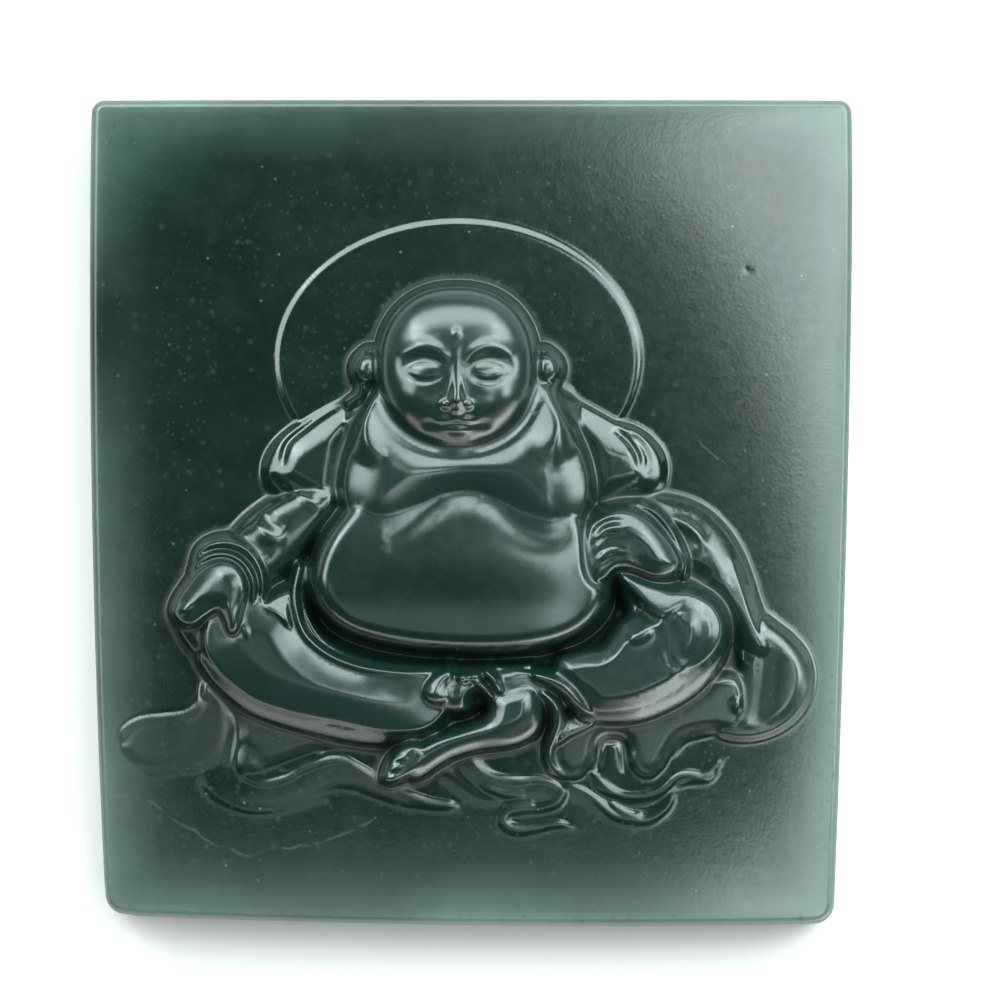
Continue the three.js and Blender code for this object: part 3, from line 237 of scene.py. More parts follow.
def ribbons(R):
    # cloth lobe at the lower left
    R.plate([(203,682),(198,704),(186,715),(162,718),(140,722),(124,736),(121,750),(134,764),(158,772),(185,773),(207,769),(223,757),(231,738),(233,715),(225,692)], 2.5, 12, p=1.3, slope=(0.0,-0.045,180,735), k=1.0)
    R.line([(119,740),(127,728),(142,720),(162,717.5),(182,715),(194,709),(200,698)], 3.4, 2.4)
    R.line([(124,750),(136,743)], 3.5, 0.5)
    R.line([(134,766),(155,773),(182,769),(206,767)], 3.2, 0.6)
    R.line([(230,712),(234,728),(231,746),(227,766)], 3.4, 1.7)
    R.line([(205,666),(206,684),(203,700)], 3.6, 2.0)
    # cloth under the left knee
    R.plate([(215,690),(236,718),(238,742),(236,768),(246,775),(268,768),(292,760),(318,752),(345,748),(395,755),(420,740),(380,715),(300,700)], 4.5, 12, p=1.2, slope=(0.0,-0.05,300,740), k=1.5)
    R.line([(240,742),(252,751),(264,766)], 6, -1.3)
    R.line([(280,772),(304,762),(324,751)], 3.4, 1.4)
    # long wavy ribbon
    R.tube([(208,782,9,-0.5,0.5),(226,794,13,-0.5,1.05),(250,798,15,-0.5,1.35),(275,796,15,-0.5,1.55),(305,786,15,-0.5,1.8),(332,776,15,-0.5,2.2),(356,778,14,-0.5,2.48),(382,789,12,-0.5,2.23),(410,800,9,-0.5,1.61),(448,806,6,-0.5,0.37)], e=2.4, q=1.0, k=1.5)
    R.line([(240,776),(262,783),(284,779),(304,769),(329,760.5),(345,761),(357,767),(378,780)], 3.2, 2.8)
    R.line([(204,782),(218,797),(243,809),(267,811),(294,806),(330,796)], 3.0, 0.9)
    R.line([(398,790),(420,800),(436,804),(460,805)], 3.4, 1.8)
    # strips under the foot
    R.tube([(430,764,8,-0.5,0.68),(447,776,9,-0.5,0.89),(466,790,9,-0.5,0.89),(481,799,7,-0.5,0.68),(498,801,5,-0.5,0.2)], e=2.0, q=1.0, k=1.2)
    R.tube([(464,754,12,-0.5,1.12),(474,769,13,-0.5,1.28),(492,783,13,-0.5,1.4),(520,790,12,-0.5,1.4),(548,794,11,-0.5,1.4),(557,799,8,-0.5,1.26)], e=2.4, q=1.0, k=1.2)
    R.line([(470,758),(478,768),(490,775),(505,779.5),(520,780.5),(535,779.5),(549,782),(559,788),(563,796)], 2.8, 2.4)
    R.line([(472,762),(484,771),(498,777),(516,781)], 2.4, -1.2)
    R.line([(480,784),(500,793),(526,797)], 2.8, 1.2)
    R.tube([(563,793,6,-0.5,1.77),(556,803,6,-0.5,1.77),(540,808,6,-0.5,1.54),(522,809.5,6,-0.5,1.54),(508,812.5,6.2,-0.5,1.61),(503,820,6.6,-0.5,1.77),(508,827,7,-0.5,2.15),(519,830,6.6,-0.5,2.31),(534,828.5,5.8,-0.5,2),(548,825.5,5.2,-0.5,1.77),(560,824,4.6,-0.5,1.46),(572,827,3,-0.5,0.38)], e=2.0, q=1.0, k=0.8)
    R.line([(504,806),(518,803.5),(534,803)], 2.6, 1.8)
    # curls at the lower right
    R.tube([(556,782,7,-0.5,0.4),(579,792,9,-0.5,0.56),(597,804,9.5,-0.5,0.6),(620,816,9.5,-0.5,0.6),(640,819,9,-0.5,0.58),(656,815,8,-0.5,0.51),(668,805,6,-0.5,0.4),(672,794,5,-0.5,0.17)], e=2.0, q=1.0, k=1.0)
    R.tube([(592,774,7,-0.5,0.45),(606,787,8.5,-0.5,0.56),(621,796,8,-0.5,0.56),(640,796,7.5,-0.5,0.49),(660,791,7.5,-0.5,0.49),(680,781,7.5,-0.5,0.49),(700,777,7,-0.5,0.42),(712,769,5,-0.5,0.29),(721,761,3.6,-0.5,0.09)], e=2.0, q=1.0, k=1.0)
    R.line([(600,790),(622,806),(646,808),(662,800)], 2.6, -0.8)
    R.line([(562,784),(589,795),(613,815),(630.5,820),(650,820),(667,807.5),(672,795)], 2.4, 1.8)
    R.line([(609,801),(625.5,813),(641,817)], 2.4, 2.0)
    R.line([(592,777),(613,791.5),(625.5,796.5),(645,796.5),(662,790.5),(677,777),(689,774.5),(701,776),(712,769),(721,761)], 2.4, 2.0)
    R.line([(672,780),(686,775),(703,776)], 2.6, 0.8)
    R.line([(590,783),(603,791),(616,796)], 2.4, 1.4)
    R.line([(677,785),(692,780),(709,779.5),(717,770)], 2.4, 1.4)

def under_drape(R):
    # robe spread under the right leg, cut by a square gap
    R.plate([(560,718),(552,742),(554,764),(569,778),(586,774),(597,760),(600,746),(606,739),(620,739),(626,746),(630,765),(640,775),(654,776),(664,768),(671,755),(684,739),(712,733),(740,735),(752,700),(730,670),(640,690)], 7, 13, p=1.25, slope=(0.01,-0.07,640,740), k=1.2)
    R.line([(549,750),(556,768),(569,777),(584,773)], 3.2, 2.0)
    R.line([(597,774),(599,750),(603,741),(612,739),(620,740.5),(623,750),(625,774)], 4.2, -3.6)
    R.plate([(566,716),(600,721),(586,731),(571,738),(557,745)], 18, 4, base=7, p=1.2, slope=(0.10,0.42,575,730), k=1.2, skirt=3)
    R.line([(634,752),(636,766),(644,774),(656,774)], 3.2, 2.0)
    R.line([(671,756),(684,740),(702,734),(720,731)], 3.0, 1.8)
    R.line([(735,698),(737,706),(735,713)], 4, 2.8)

def sack(R):
    # tail of the sack
    R.plate([(760,618),(776,627),(792,640),(804,656),(809,675),(806,695),(796,713),(780,726),(760,734),(740,736),(722,732),(733,722),(740,706),(743,684),(742,660),(748,640)], 11.5, 12, base=6, p=1.1, k=1.5, skirt=WALL, slope=(0.02,-0.03,775,680))
    R.line([(764,646),(762,674),(758,706),(752,724)], 12, -4)
    R.line([(810,680),(805,700),(793,717),(777,728.5),(760,734.5),(743,736),(728,733.5),(716,730)], 2.8, 2.0)
    # body with a lit outer facet
    R.plate([(636,503),(668,504),(695,513),(716,530),(732,553),(743,580),(751,605),(760,628),(770,650),(757,654),(744,642),(733,622),(722,606),(708,594),(690,587),(668,584),(650,580),(636,540)], SACK_TOP, 17, base=10.5, p=1.08, k=1.5, skirt=WALL)
    R.line([(648,496),(680,500),(708,514),(730,540),(745,570),(753,600)], 2.8, 1.6)
    R.line([(664,519),(684,524),(698,536),(703,556)], 5, 2.8)
    R.bump(680, 536, 24, 13, -4, rot=35, e=1.5)
    R.bump(694, 572, 24, 12, -5, rot=15, e=1.5)
    R.line([(730,556),(741,590),(752,622),(766,648)], 4.5, 2.6)
    R.line([(737,646),(741,656),(746,666)], 4, 2.6)

def legs(R):
    # left leg: the straight bank along its lower edge, then the rounded top
    R.plate([(199,657),(204,669),(212,681),(230,698),(250,712.5),(275,722.5),(310,732.5),(350,741),(380,744),(400,741),(430,735),(448,715),(440,690),(380,690),(300,668),(240,640),(210,630)], 27, 12.5, base=16.5, p=1.0, k=0.8, cut=1, cutw=6)
    R.plate([(205,632),(207,652),(218,668),(235,685.5),(260,702.5),(300,715.5),(340,723),(370,729),(395,732),(425,728),(444,712),(450,690),(442,674),(400,673),(370,668),(335,657),(310,640),(298,622),(285,608),(262,598),(240,590),(215,606)], LEG_TOP-8, 33, base=29.5, p=1.25, k=1.2, crown=(322,672,105,300,9))
    R.bump(418, 666, 60, 36, 5, e=1.5)
    # right leg
    R.plate([(576,714),(590,721),(612,723.5),(640,721.5),(665,712.5),(690,698.5),(708,682.5),(722,661),(728.5,640),(727,618),(714,599),(690,590),(650,600),(620,650),(590,690)], 29, 14, base=17.5, p=1.0, k=0.8, cut=1, cutw=6, skirt=8)
    R.plate([(582,700),(592,709),(602,713),(630,710.5),(655,702),(680,689),(700,672.5),(715,657),(724,640),(723,618),(711,600),(692,592),(668,592),(655,604),(640,612),(622,622),(612,634),(600,648),(580,651),(560,656),(556,672),(566,688)], LEG_TOP, 16, base=29.5, p=1.0, k=1.5, slope=(0.03,-0.03,640,672), skirt=8)
    # knee
    R.plate([(653,602),(668,594),(686,591),(704,598),(716,610),(721,628),(716,647),(704,661),(689,668),(675,666),(666,654),(661,634)], 51, 30, base=40, p=1.08, k=2.5, skirt=3.0, slope=(-0.09,0.0,688,630))
    R.line([(661,642),(661,655),(667,667),(679,672),(694,668),(705,658)], 3.2, 1.1)
    R.line([(672,642),(674,655),(680,663),(689,666)], 2.8, 1.1)
    R.line([(668,618),(675,610),(683,613),(687,625)], 4.5, -1.6)
    R.line([(655,588),(670,584.5),(688,585.5),(706,591.5),(720,602.5),(731,619)], 3.0, 4.0)
    R.line([(664,592),(688,590.5),(706,597),(719,608),(727,624)], 2.8, -3.2)
    R.plate([(611,567),(640,579),(664,587),(690,592),(682,606),(664,618),(646,608),(628,589)], 44.5, 5, base=35, p=1.3, skirt=2.0, slope=(-0.08,0.38,645,597), k=5.0)
    R.line([(612,575),(629,595),(648,616),(658,624)], 4.5, -5)
    # folds beside the heel
    R.tube([(536,675,8,14,34),(552,680,10,16,39),(566,688,11,18,41),(576,699,10,18,39),(584,708,8,16,34),(592,713,5,14,28)], e=1.8, q=0.8, k=2)
    R.tube([(538,690,6,10,28),(549,698,8,10,32),(556,708,9,10,33),(558,722,9,8,28),(553,738,8,4,20),(548,752,7,1,12),(552,766,6,0,7),(562,775,5,-0.5,3)], e=1.8, q=0.8, k=1.5)
    R.line([(546,704),(549,720),(546,738),(543,756)], 3.4, -3.2)

def belly(R):
    R.plate([(345,500),(322,532),(310,560),(308,588),(320,615),(348,637),(398,651),(461,657),(520,655.5),(566,646),(598,626),(613,598),(609,560),(592,520),(570,470),(460,450),(370,460)], BELLY_TOP, 25, base=-4, p=2.5, k=2.0, cut=8, cutw=7, crown=(433,582,170,84,11.5,5))
    # its dip under the chest
    R.line([(385,537),(405,530),(425,515),(444,501),(462,495),(480,497),(498,507),(514,522),(530,533),(550,538),(572,531)], 13, -1.8)
    R.line([(385,537),(405,530),(425,515),(444,501)], 13, -1.2)
    R.line([(480,497),(498,507),(514,522),(530,533),(550,538),(572,531)], 13, -1.7)

def hem(R):
    R.tube([(300,566,4,20,27),(295,590,5,24,35),(296,608,5.5,26,37),(301,626,5.5,26,37),(311,641,5.5,26,37),(331,656,5.5,26,37),(356,666,5.5,26,37),(382,671,5.5,26,36.5),(410,673,5,26,36),(438,671,5,24,32)], e=1.8, q=0.8, k=1.2)
    R.tube([(308,566,4,10,20),(303,590,4.4,14,26),(307,615,4.4,14,27),(320,637,4.4,14,27),(342,652,4.4,14,27),(372,662,4.4,14,27),(402,666.5,4.4,14,27),(440,668,4.4,14,26),(480,668,4.4,12,24),(530,666,4.4,12,23)], e=1.8, q=0.8, k=1.2)
    R.plate([(262,604),(288,590),(291,608),(292.5,629),(277,617)], 36, 3, base=26, p=1.2, skirt=2.5, slope=(0.06,0.42,280,608), k=1.2)
    R.tube([(513,671,4,8,27),(542,674,4.5,8,30),(560,671,4.5,8,31),(582,668,4.5,8,32),(604,664.5,4.5,8,33),(616,656,5,8,35),(624,644,6,8,36),(630,630,8,8,34),(635,614,9,6,27),(633,596,8,2,16)], e=1.8, q=0.8, k=3)
    R.line([(628,640),(640,636),(651,630)], 5.5, 3.6)

def chest(R):
    R.plate([(371,404),(357,432),(347,460),(343,484),(346,506),(353,521),(366,532.5),(385,536.5),(405,530),(425,515),(444,501),(462,495),(480,497),(498,507),(514,522),(530,533),(550,538),(570,530.5),(584,513),(590,488),(585,460),(573,432),(556,404),(540,370),(500,345),(457,340),(414,345),(386,370)], CHEST_TOP, 42, base=35, p=1.3, k=1.5, crown=(464,484,150,120,2.0))
    R.bump(370, 424, 26, 46, 12, e=1.5)
    R.bump(556, 424, 26, 46, 12, e=1.5)
    R.moat(HEAD_U, 367, 90, 92, 45, 0.43, p=2.25, k=3)

def capes(R):
    R.plate([(380,387),(352,399),(330,409),(308,422),(290,434),(277,447),(269,462),(268,477),(274,490),(286,497),(304,507),(322,517),(338,518),(348,500),(352,470),(358,440),(372,415)], CAPE_TOP, 27, base=7, p=1.08, k=1.2, skirt=WALL)
    R.line([(345,403),(325,414),(304,429),(289,442),(284,455),(283,468)], 3.2, -2.6)
    R.line([(284,481),(299,493),(324,511)], 3.2, 2.4)
    R.line([(272,474),(281,487),(291,495)], 3.0, -2.0)
    R.plate([(536,382),(560,394),(582,406),(602,417),(620,427),(636,433),(650,444),(659,458),(661,474),(655,489),(640,498),(620,503),(604,507),(590,514),(583,490),(577,455),(560,420)], CAPE_TOP, 27, base=7, p=1.08, k=1.2, skirt=WALL)
    R.line([(614,429),(627,440),(637,455),(639,470)], 3.0, -3.0)
    R.line([(628,432),(641,445),(648,460),(645,474)], 2.6, -2.2)
    R.line([(646,478),(630,488),(612,498),(600,506)], 3.0, 1.6)

def left_arm(R):
    # sleeve with its side wall
    R.tube([(322,508,24,8,23),(296,522,29,8,25),(271,543,32,8,27),(249,566,30,8,28),(234,584,26,8,28)], e=2.0, q=0.5, k=2.0, skirt=WALL)
    R.line([(263,512),(272,522),(286,528)], 5.5, -2.6)
    R.line([(252,523),(263,530),(272,537),(286,541)], 5.5, 3.0)
    R.line([(240,531),(251,541),(262,548),(274,550)], 5.5, -2.6)
    # rolled cuff
    R.tube([(197,562,5,10,20),(202,552,6,12,26),(211,545.5,6.5,14,30),(224,543,7,16,33),(238,545.5,7,18,35),(250,553,7,18,36),(259,566,6.5,18,36),(263,582,5.5,18,35),(262,598,4,18,33)], e=1.8, q=0.8, k=1.5)
    R.tube([(195,571,5,12,26),(203,561,6,16,32),(213,555.5,6,18,35),(226,554.5,6,20,38),(239,559.5,6,22,40),(249,570,6,22,41),(254,584,5.5,22,40),(253,600,4,22,37)], e=1.8, q=0.8, k=1.2)
    # hand on the knee
    R.plate([(195,575),(205,566),(219,560.5),(232,562.5),(242,572),(247,587),(244,602),(241,617),(238,630),(230,632),(225,620),(219,610),(207,616),(197,623),(188,625),(179,620),(174,611),(178,599),(186,587)], HAND_TOP, 18, base=41.5, p=1.3, k=1.5, cut=2, cutw=4, skirt=5.0, slope=(0.04,0.0,220,590), lean=(0.20,0.0,228,585))
    R.bump(184, 609, 11, 8, 3.0, rot=-30, e=1.5)
    R.line([(207,597),(197,607),(190,619)], 4.0, -1.4)
    R.line([(229,602),(232,614),(235,627)], 4.5, 2.2)
    R.line([(242,617),(245,627),(250,639)], 3.0, 2.6)
    # cloth edge that hangs from the hand
    R.plate([(184,594),(175,605),(175,618),(184,637),(196,653),(204,660),(214,656),(214,630),(195,606)], 15, 8, base=7, p=1.2, k=1.5, skirt=1.2)
    R.line([(172,612),(178,627),(187,642),(199,659)], 3.0, 2.0)

def right_arm(R):
    # fist against the belly
    R.plate([(586,540),(590,526),(600,518),(614,512),(630,511),(646,519),(660,532),(672,547),(679,562),(671,574),(654,577),(634,570),(616,568),(604,578),(594,580),(587,566)], HAND_TOP, 17, base=41, p=1.12, k=1.5, cut=5, cutw=5, skirt=2.5, slope=(0.08,0.0,635,545))
    R.line([(592,535),(600,526),(612,521),(626,522)], 2.8, -2.2)
    R.line([(592,546),(600,538),(610,533),(624,534)], 2.8, -2.2)
    R.line([(594,556),(602,549),(612,545),(624,547)], 2.8, -2.2)
    R.line([(598,566),(606,558),(614,554.5),(626,557)], 2.8, -2.4)
    R.line([(596,541),(606,530),(622,528)], 2.6, 1.6)
    R.line([(600,561),(608,553),(622,551)], 2.6, 1.6)
    R.line([(604,570),(622,560),(640,568),(660,577)], 3.0, 1.4)
    R.bump(636, 552, 18, 12, -2.0, rot=30, e=1.5)
    # cuff
    R.tube([(638,505,5,14,28),(654,512,5,16,32),(668,527,5,18,35),(678,545,5,18,36),(685,563,4.6,16,34),(683,578,4,14,28)], e=1.8, q=0.8, k=1.5, cut=1, cutw=4)
    R.line([(640,509),(656,520),(668,536),(676,556)], 2.8, 2.0)
    R.tube([(588,516,4,10,26),(612,507,4.5,12,28),(640,504,4.5,12,28)], e=1.8, q=0.8, k=1.5)

def feet(R):
    # cloth between the feet
    R.dome(514, 688, 34, 20, 31, base=22, e=2.2, q=0.7, k=3)
    # rear foot
    R.dome(456, 692, 34, 21, 39, base=20, e=2.4, k=4)
    R.plate([(449,670),(439,674),(430,681),(425,690),(428,699),(437,702),(446,699),(446,690),(448,682),(452,676)], 47, 12, base=41, p=1.1, k=1.2, skirt=3.0, slope=(0.0,0.2,437,686))
    R.line([(452,682),(449,692),(449,702)], 3.6, 1.6)
    R.line([(462,684),(460,693),(460,702)], 3.6, 1.4)
    R.dome(463, 677.5, 7.5, 6, 46, base=36, q=0.8, k=1.2)
    R.dome(475, 676.5, 7.5, 6, 45, base=36, q=0.8, k=1.2)
    R.bump(477, 701, 14, 17, -22, e=1.4)
    R.tube([(477,681,4.5,26,41),(485,688,5,26,41),(492,696,4.5,26,38)], e=1.8, q=0.8, k=1.2)
    R.tube([(486,671,5,28,42),(494,679,5.5,28,45),(500,690,5,26,41)], e=1.8, q=0.8, k=1.2)
    # front foot: the straight bank, then its top
    R.plate([(542,699),(542.5,717),(537,732),(523.5,742),(506,747),(480,750),(455,757),(438,766.5),(423,776.5),(411,778),(405,770),(409,757),(422,743),(440,734.5),(465,726.5),(483,719),(489,708),(490,697),(504,688),(522,683.5),(536,687)], 28, 9, base=20.3, p=1.0, k=0.8, cut=3, cutw=5, skirt=6)
    R.plate([(536,700),(535,714),(529,725.5),(516,734),(498,738.5),(474,742),(450,749),(432,759),(420,767.5),(412,768),(409,763),(413,754),(424,745.5),(442,737),(467,729),(486,721.5),(492.5,710),(494,699),(506,691),(522,687),(533,691)], FOOT_TOP-8, 13, base=28, p=1.08, k=1.0, skirt=8, slope=(0.03,0.0,470,730))
    # toes
    R.plate([(383,779),(386,767),(392,756),(401,747),(412,742),(424,748),(424,764),(412,773),(398,781),(388,783)], 30, 6, base=24, p=1.6, k=1.5, skirt=5, lean=(0.08,0.0,403,762))
    for u, v, du, dv in [(395,777,22,-9), (397.5,767,20,-8), (404,757.5,17,-7), (411,749.5,13,-5)]:
        R.bump(u, v, 8, 5.2, 2.4, rot=-22, e=1.6)
        R.line([(u-7,v-2.5),(u,v-5),(u+0.7*du,v-5+0.7*dv)], 2.2, -1.6)

def head(R):
    c = HEAD_U
    for s in (-1, 1):
        R.tube([(c+s*76,352,6,16,28),(c+s*90,354,7,16,31),(c+s*97,368,7,16,32),(c+s*93,384,8,16,33),(c+s*94,396,9,12,28),(c+s*104,405,9,8,19)], e=1.9, q=0.8, k=2, skirt=8)
        R.dome(c+s*88, 369, 13, 14, 41, base=35, q=0.95, k=1.2, cut=2, cutw=3)
    R.dome(c, 367, 80, 82, HEAD_TOP, base=30, p=2.25, e=2.2, k=1.5, cut=3, cutw=4, skirt=10)

def face_forms(R):
    c = HEAD_U
    for s in (-1, 1):
        R.bump(c+s*32, 366, 30, 19, -4.2, e=1.8)
        R.line([(c+s*8,364),(c+s*18,352),(c+s*35,346.5),(c+s*58,355)], 6, 2.8)
        R.bump(c+s*32.5, 371, 21, 12, 4.2, e=1.4)
        R.line([(c+s*14,375.5),(c+s*24,381),(c+s*37,381.5),(c+s*51,374.5)], 2.3, -2.2)
        R.line([(c+s*15,366),(c+s*32,359.5),(c+s*53,367)], 2.4, -1.2)
        R.bump(c+s*43, 402, 34, 29, 3.6, e=1.8)
        R.bump(c+s*28, 424, 8, 7, -1.6, e=1.5)
    R.tube([(c,350,6,66,71),(c,370,7,66,73),(c,388,8.5,65,76),(c,401,11,63,78.5),(c,409,10,60,73)], e=2, q=0.8, k=4)
    for s in (-1, 1):
        R.dome(c+s*11, 404.5, 8, 7, 73.5, base=64, q=0.7, k=3)
        R.bump(c+s*8, 421, 16, 6, 2.5, rot=s*8, e=1.5)
    R.line([(c,413),(c,418)], 3, -1.0)
    R.bump(c, 430, 19, 7, 3.2, e=1.5)
    R.line([(c-26,423.5),(c-13,425.6),(c,424.8),(c+13,425.6),(c+26,423.5)], 2.2, -2.4)
    R.line([(c-13,438.5),(c,440),(c+13,438.5)], 5, -1.6)
    R.bump(c, 444, 24, 13, 3.0, e=1.5)
    R.bump(c, 334, 5.5, 5.5, 2.4, e=1.5)

def flaws(R):
    # pit in the ground
    R.bump(747, 270, 3.0, 3.0, -0.7)

def carve(U, V):
    R = Relief(U, V)
    halo(R)
    ribbons(R)
    under_drape(R)
    sack(R)
    legs(R)
    left_arm(R)
    capes(R)
    belly(R)
    chest(R)
    hem(R)
    right_arm(R)
    feet(R)
    head(R)
    face_forms(R)
    flaws(R)
    return R

# ---- plan of the slab
def bow(x, centre, span, reach, power):
    return reach*np.abs((x-centre)/span)**power

def left_edge(v):
    return SHEET_LEFT+bow(v, 280, 616, 15, 2)

def right_edge(v):
    return SHEET_RIGHT-bow(v, 180, 716, 18, 1.5)

def bottom_edge(u):
    return SHEET_BOTTOM-bow(u, 620, 490, 10, 2)

def ground(u, v):
    """Gently pillowed towards the rim."""
    x, y = np.abs((u-CENTRE_U)/382), np.abs((v-CENTRE_V)/414)
    return -4*(x**2+y**2)-9*(x**4+y**4)

def soften(H, sigma_rows, sigma_cols):
    for axis, sigma in ((0, sigma_rows), (1, sigma_cols)):
        k = int(math.ceil(3*sigma))
        w = np.exp(-0.5*(np.arange(-k, k+1)/sigma)**2)
        w /= w.sum()
        pad = [(k, k) if a == axis else (0, 0) for a in (0, 1)]
        P = np.pad(H, pad, "edge")
        n = H.shape[axis]
        H = sum(w[i]*np.take(P, np.arange(i, i+n), axis) for i in range(2*k+1))
    return H

# ---- carved side: grid of heights, thinned to triangles
N = CELLS+1
t = np.linspace(0, 1, N)[:, None]+np.zeros((1, N))
s = np.zeros((N, 1))+np.linspace(0, 1, N)[None, :]
V = SHEET_TOP+INSET+(SHEET_BOTTOM-SHEET_TOP-2*INSET)*t
U = left_edge(V)+INSET+(right_edge(V)-left_edge(V)-2*INSET)*s
V = V+(bottom_edge(U)-SHEET_BOTTOM)*t
relief = carve(U, V)
row_step, col_step = (SHEET_BOTTOM-SHEET_TOP-2*INSET)/CELLS, (SHEET_RIGHT-SHEET_LEFT-2*INSET-8)/CELLS
H = soften(relief.H, SOFTEN/row_step, SOFTEN/col_step)
Z = H+ground(U, V)
Zv, Zu = np.gradient(Z)
Vv = np.gradient(V)[0]
Uu = np.gradient(U)[1]
Zu, Zv = Zu/Uu, Zv/Vv
lean = np.sqrt(1+Zu**2+Zv**2)
normal = np.stack([-Zu, Zv, np.ones_like(Z)], -1)/lean[..., None]

def split_errors(Z, weight):
    """How far each grid point lies off the longest edge it would split, largest kept upwards."""
    n = Z.shape[0]-1
    err = np.zeros_like(Z)
    step = 2
    while step <= n:
        h, q = step//2, step//4
        a = np.abs(Z[::step, h::step]-0.5*(Z[::step, 0:n:step]+Z[::step, step::step]))*weight[::step, h::step]
        b = np.abs(Z[h::step, ::step]-0.5*(Z[0:n:step, ::step]+Z[step::step, ::step]))*weight[h::step, ::step]
        if step > 2:
            C = err[q::h, q::h]
            P = np.pad(C, ((1, 1), (0, 0)))
            M = np.maximum(P[0::2], P[1::2])
            a = np.maximum(a, np.maximum(M[:, 0::2], M[:, 1::2]))
            P = np.pad(C, ((0, 0), (1, 1)))
            M = np.maximum(P[:, 0::2], P[:, 1::2])
            b = np.maximum(b, np.maximum(M[0::2], M[1::2]))
        err[::step, h::step] = a
        err[h::step, ::step] = b
        i, j = np.meshgrid(np.arange(n//step), np.arange(n//step), indexing="ij")
        c00, c11 = Z[0:n:step, 0:n:step], Z[step::step, step::step]
        c01, c10 = Z[0:n:step, step::step], Z[step::step, 0:n:step]
        mean = np.where((i+j) % 2 == 0, 0.5*(c00+c11), 0.5*(c01+c10))
        own = np.abs(Z[h::step, h::step]-mean)*weight[h::step, h::step]
        err[h::step, h::step] = np.maximum.reduce([own, a[:-1], a[1:], b[:, :-1], b[:, 1:]])
        step *= 2
    return err

def split(err, tol):
    n = err.shape[0]-1
    A = np.array([[0, 0], [n, n]])
    B = np.array([[n, n], [0, 0]])
    C = np.array([[0, n], [n, 0]])
    done = []
    while len(A):
        M = (A+B)//2
        go = (np.abs(A-C).sum(1) > 1) & (err[M[:, 0], M[:, 1]] > tol)
        keep = ~go
        done.append(np.stack([A[keep], B[keep], C[keep]], 1))
        A, B, C, M = A[go], B[go], C[go], M[go]
        A, B, C = np.concatenate([C, B]), np.concatenate([A, C]), np.concatenate([M, M])
    return np.concatenate(done)

faint = np.exp(-(H/7)**2)*np.clip(12*np.hypot(*np.gradient(H)), 0, 1)
err = split_errors(Z, (1+0.6*np.exp(-(((U-457)/90)**2+((V-370)/90)**2)**2)+2.5*faint)/lean**0.6)
low, high = 1e-3, 4.0
for _ in range(18):
    mid = math.sqrt(low*high)
    if len(split(err, mid)) > FACES:
        low = mid
    else:
        high = mid
tri = split(err, high)
flat = tri[..., 0]*N+tri[..., 1]
used, faces = np.unique(flat, return_inverse=True)
faces = faces.reshape(-1, 3)
row, col = used//N, used % N
points = [np.column_stack([U[row, col], V[row, col], Z[row, col]])]
normals = [normal[row, col]]
count = len(used)
edge = []
for k, (r, c) in enumerate(zip(row.tolist(), col.tolist())):
    if r == 0 and c < CELLS:
        edge.append((c/CELLS, k))
    elif c == CELLS and r < CELLS:
        edge.append((1+r/CELLS, k))
    elif r == CELLS and c > 0:
        edge.append((3-c/CELLS, k))
    elif c == 0 and r > 0:
        edge.append((4-r/CELLS, k))
edge.sort()

# ---- rim and back: rings round the plan outline, clockwise on the sheet from the upper left
ARC, SIDE = 14, 60
def outline(inset):
    """Rows of position, u, v, outward u, outward v."""
    tl, tr, b = TOP_CORNER, TOP_CORNER, BOTTOM_CORNER
    corners = [(left_edge(SHEET_TOP)+tl, SHEET_TOP+tl, tl, 180), (right_edge(SHEET_TOP)-tr, SHEET_TOP+tr, tr, 270),
               (right_edge(SHEET_BOTTOM-b)-b, bottom_edge(SHEET_RIGHT)-b, b, 0), (left_edge(SHEET_BOTTOM-b)+b, bottom_edge(SHEET_LEFT)-b, b, 90)]
    rows = []
    for k, (cu, cv, r, turn) in enumerate(corners):
        for n in range(ARC+1):
            a = math.radians(turn+90*n/ARC)
            rows.append((k-0.02+0.04*n/ARC, cu+math.cos(a)*(r-inset), cv+math.sin(a)*(r-inset), math.cos(a), math.sin(a)))
        nu, nv = corners[(k+1) % 4][:2]
        for n in range(1, SIDE):
            f = n/SIDE
            u, v = cu+(nu-cu)*f, cv+(nv-cv)*f
            at = k+0.02+0.96*f
            if k == 0:
                rows.append((at, u, SHEET_TOP+inset, 0, -1))
            elif k == 1:
                rows.append((at, right_edge(v)-inset, v, 1, 0))
            elif k == 2:
                rows.append((at, u, bottom_edge(u)-inset, 0, 1))
            else:
                rows.append((at, left_edge(v)+inset, v, -1, 0))
    return np.array(rows, float)

def strip(inner, outer):
    """Joins two closed rings in step with their positions."""
    out, a, b, i, j = [], len(inner), len(outer), 0, 0
    while i < a or j < b:
        p, q = inner[i % a][1], outer[j % b][1]
        pi = inner[(i+1) % a][0]+4*((i+1)//a)
        pj = outer[(j+1) % b][0]+4*((j+1)//b)
        if j >= b or (i < a and pi <= pj):
            out.append((p, inner[(i+1) % a][1], q))
            i += 1
        else:
            out.append((p, outer[(j+1) % b][1], q))
            j += 1
    return np.array(out)

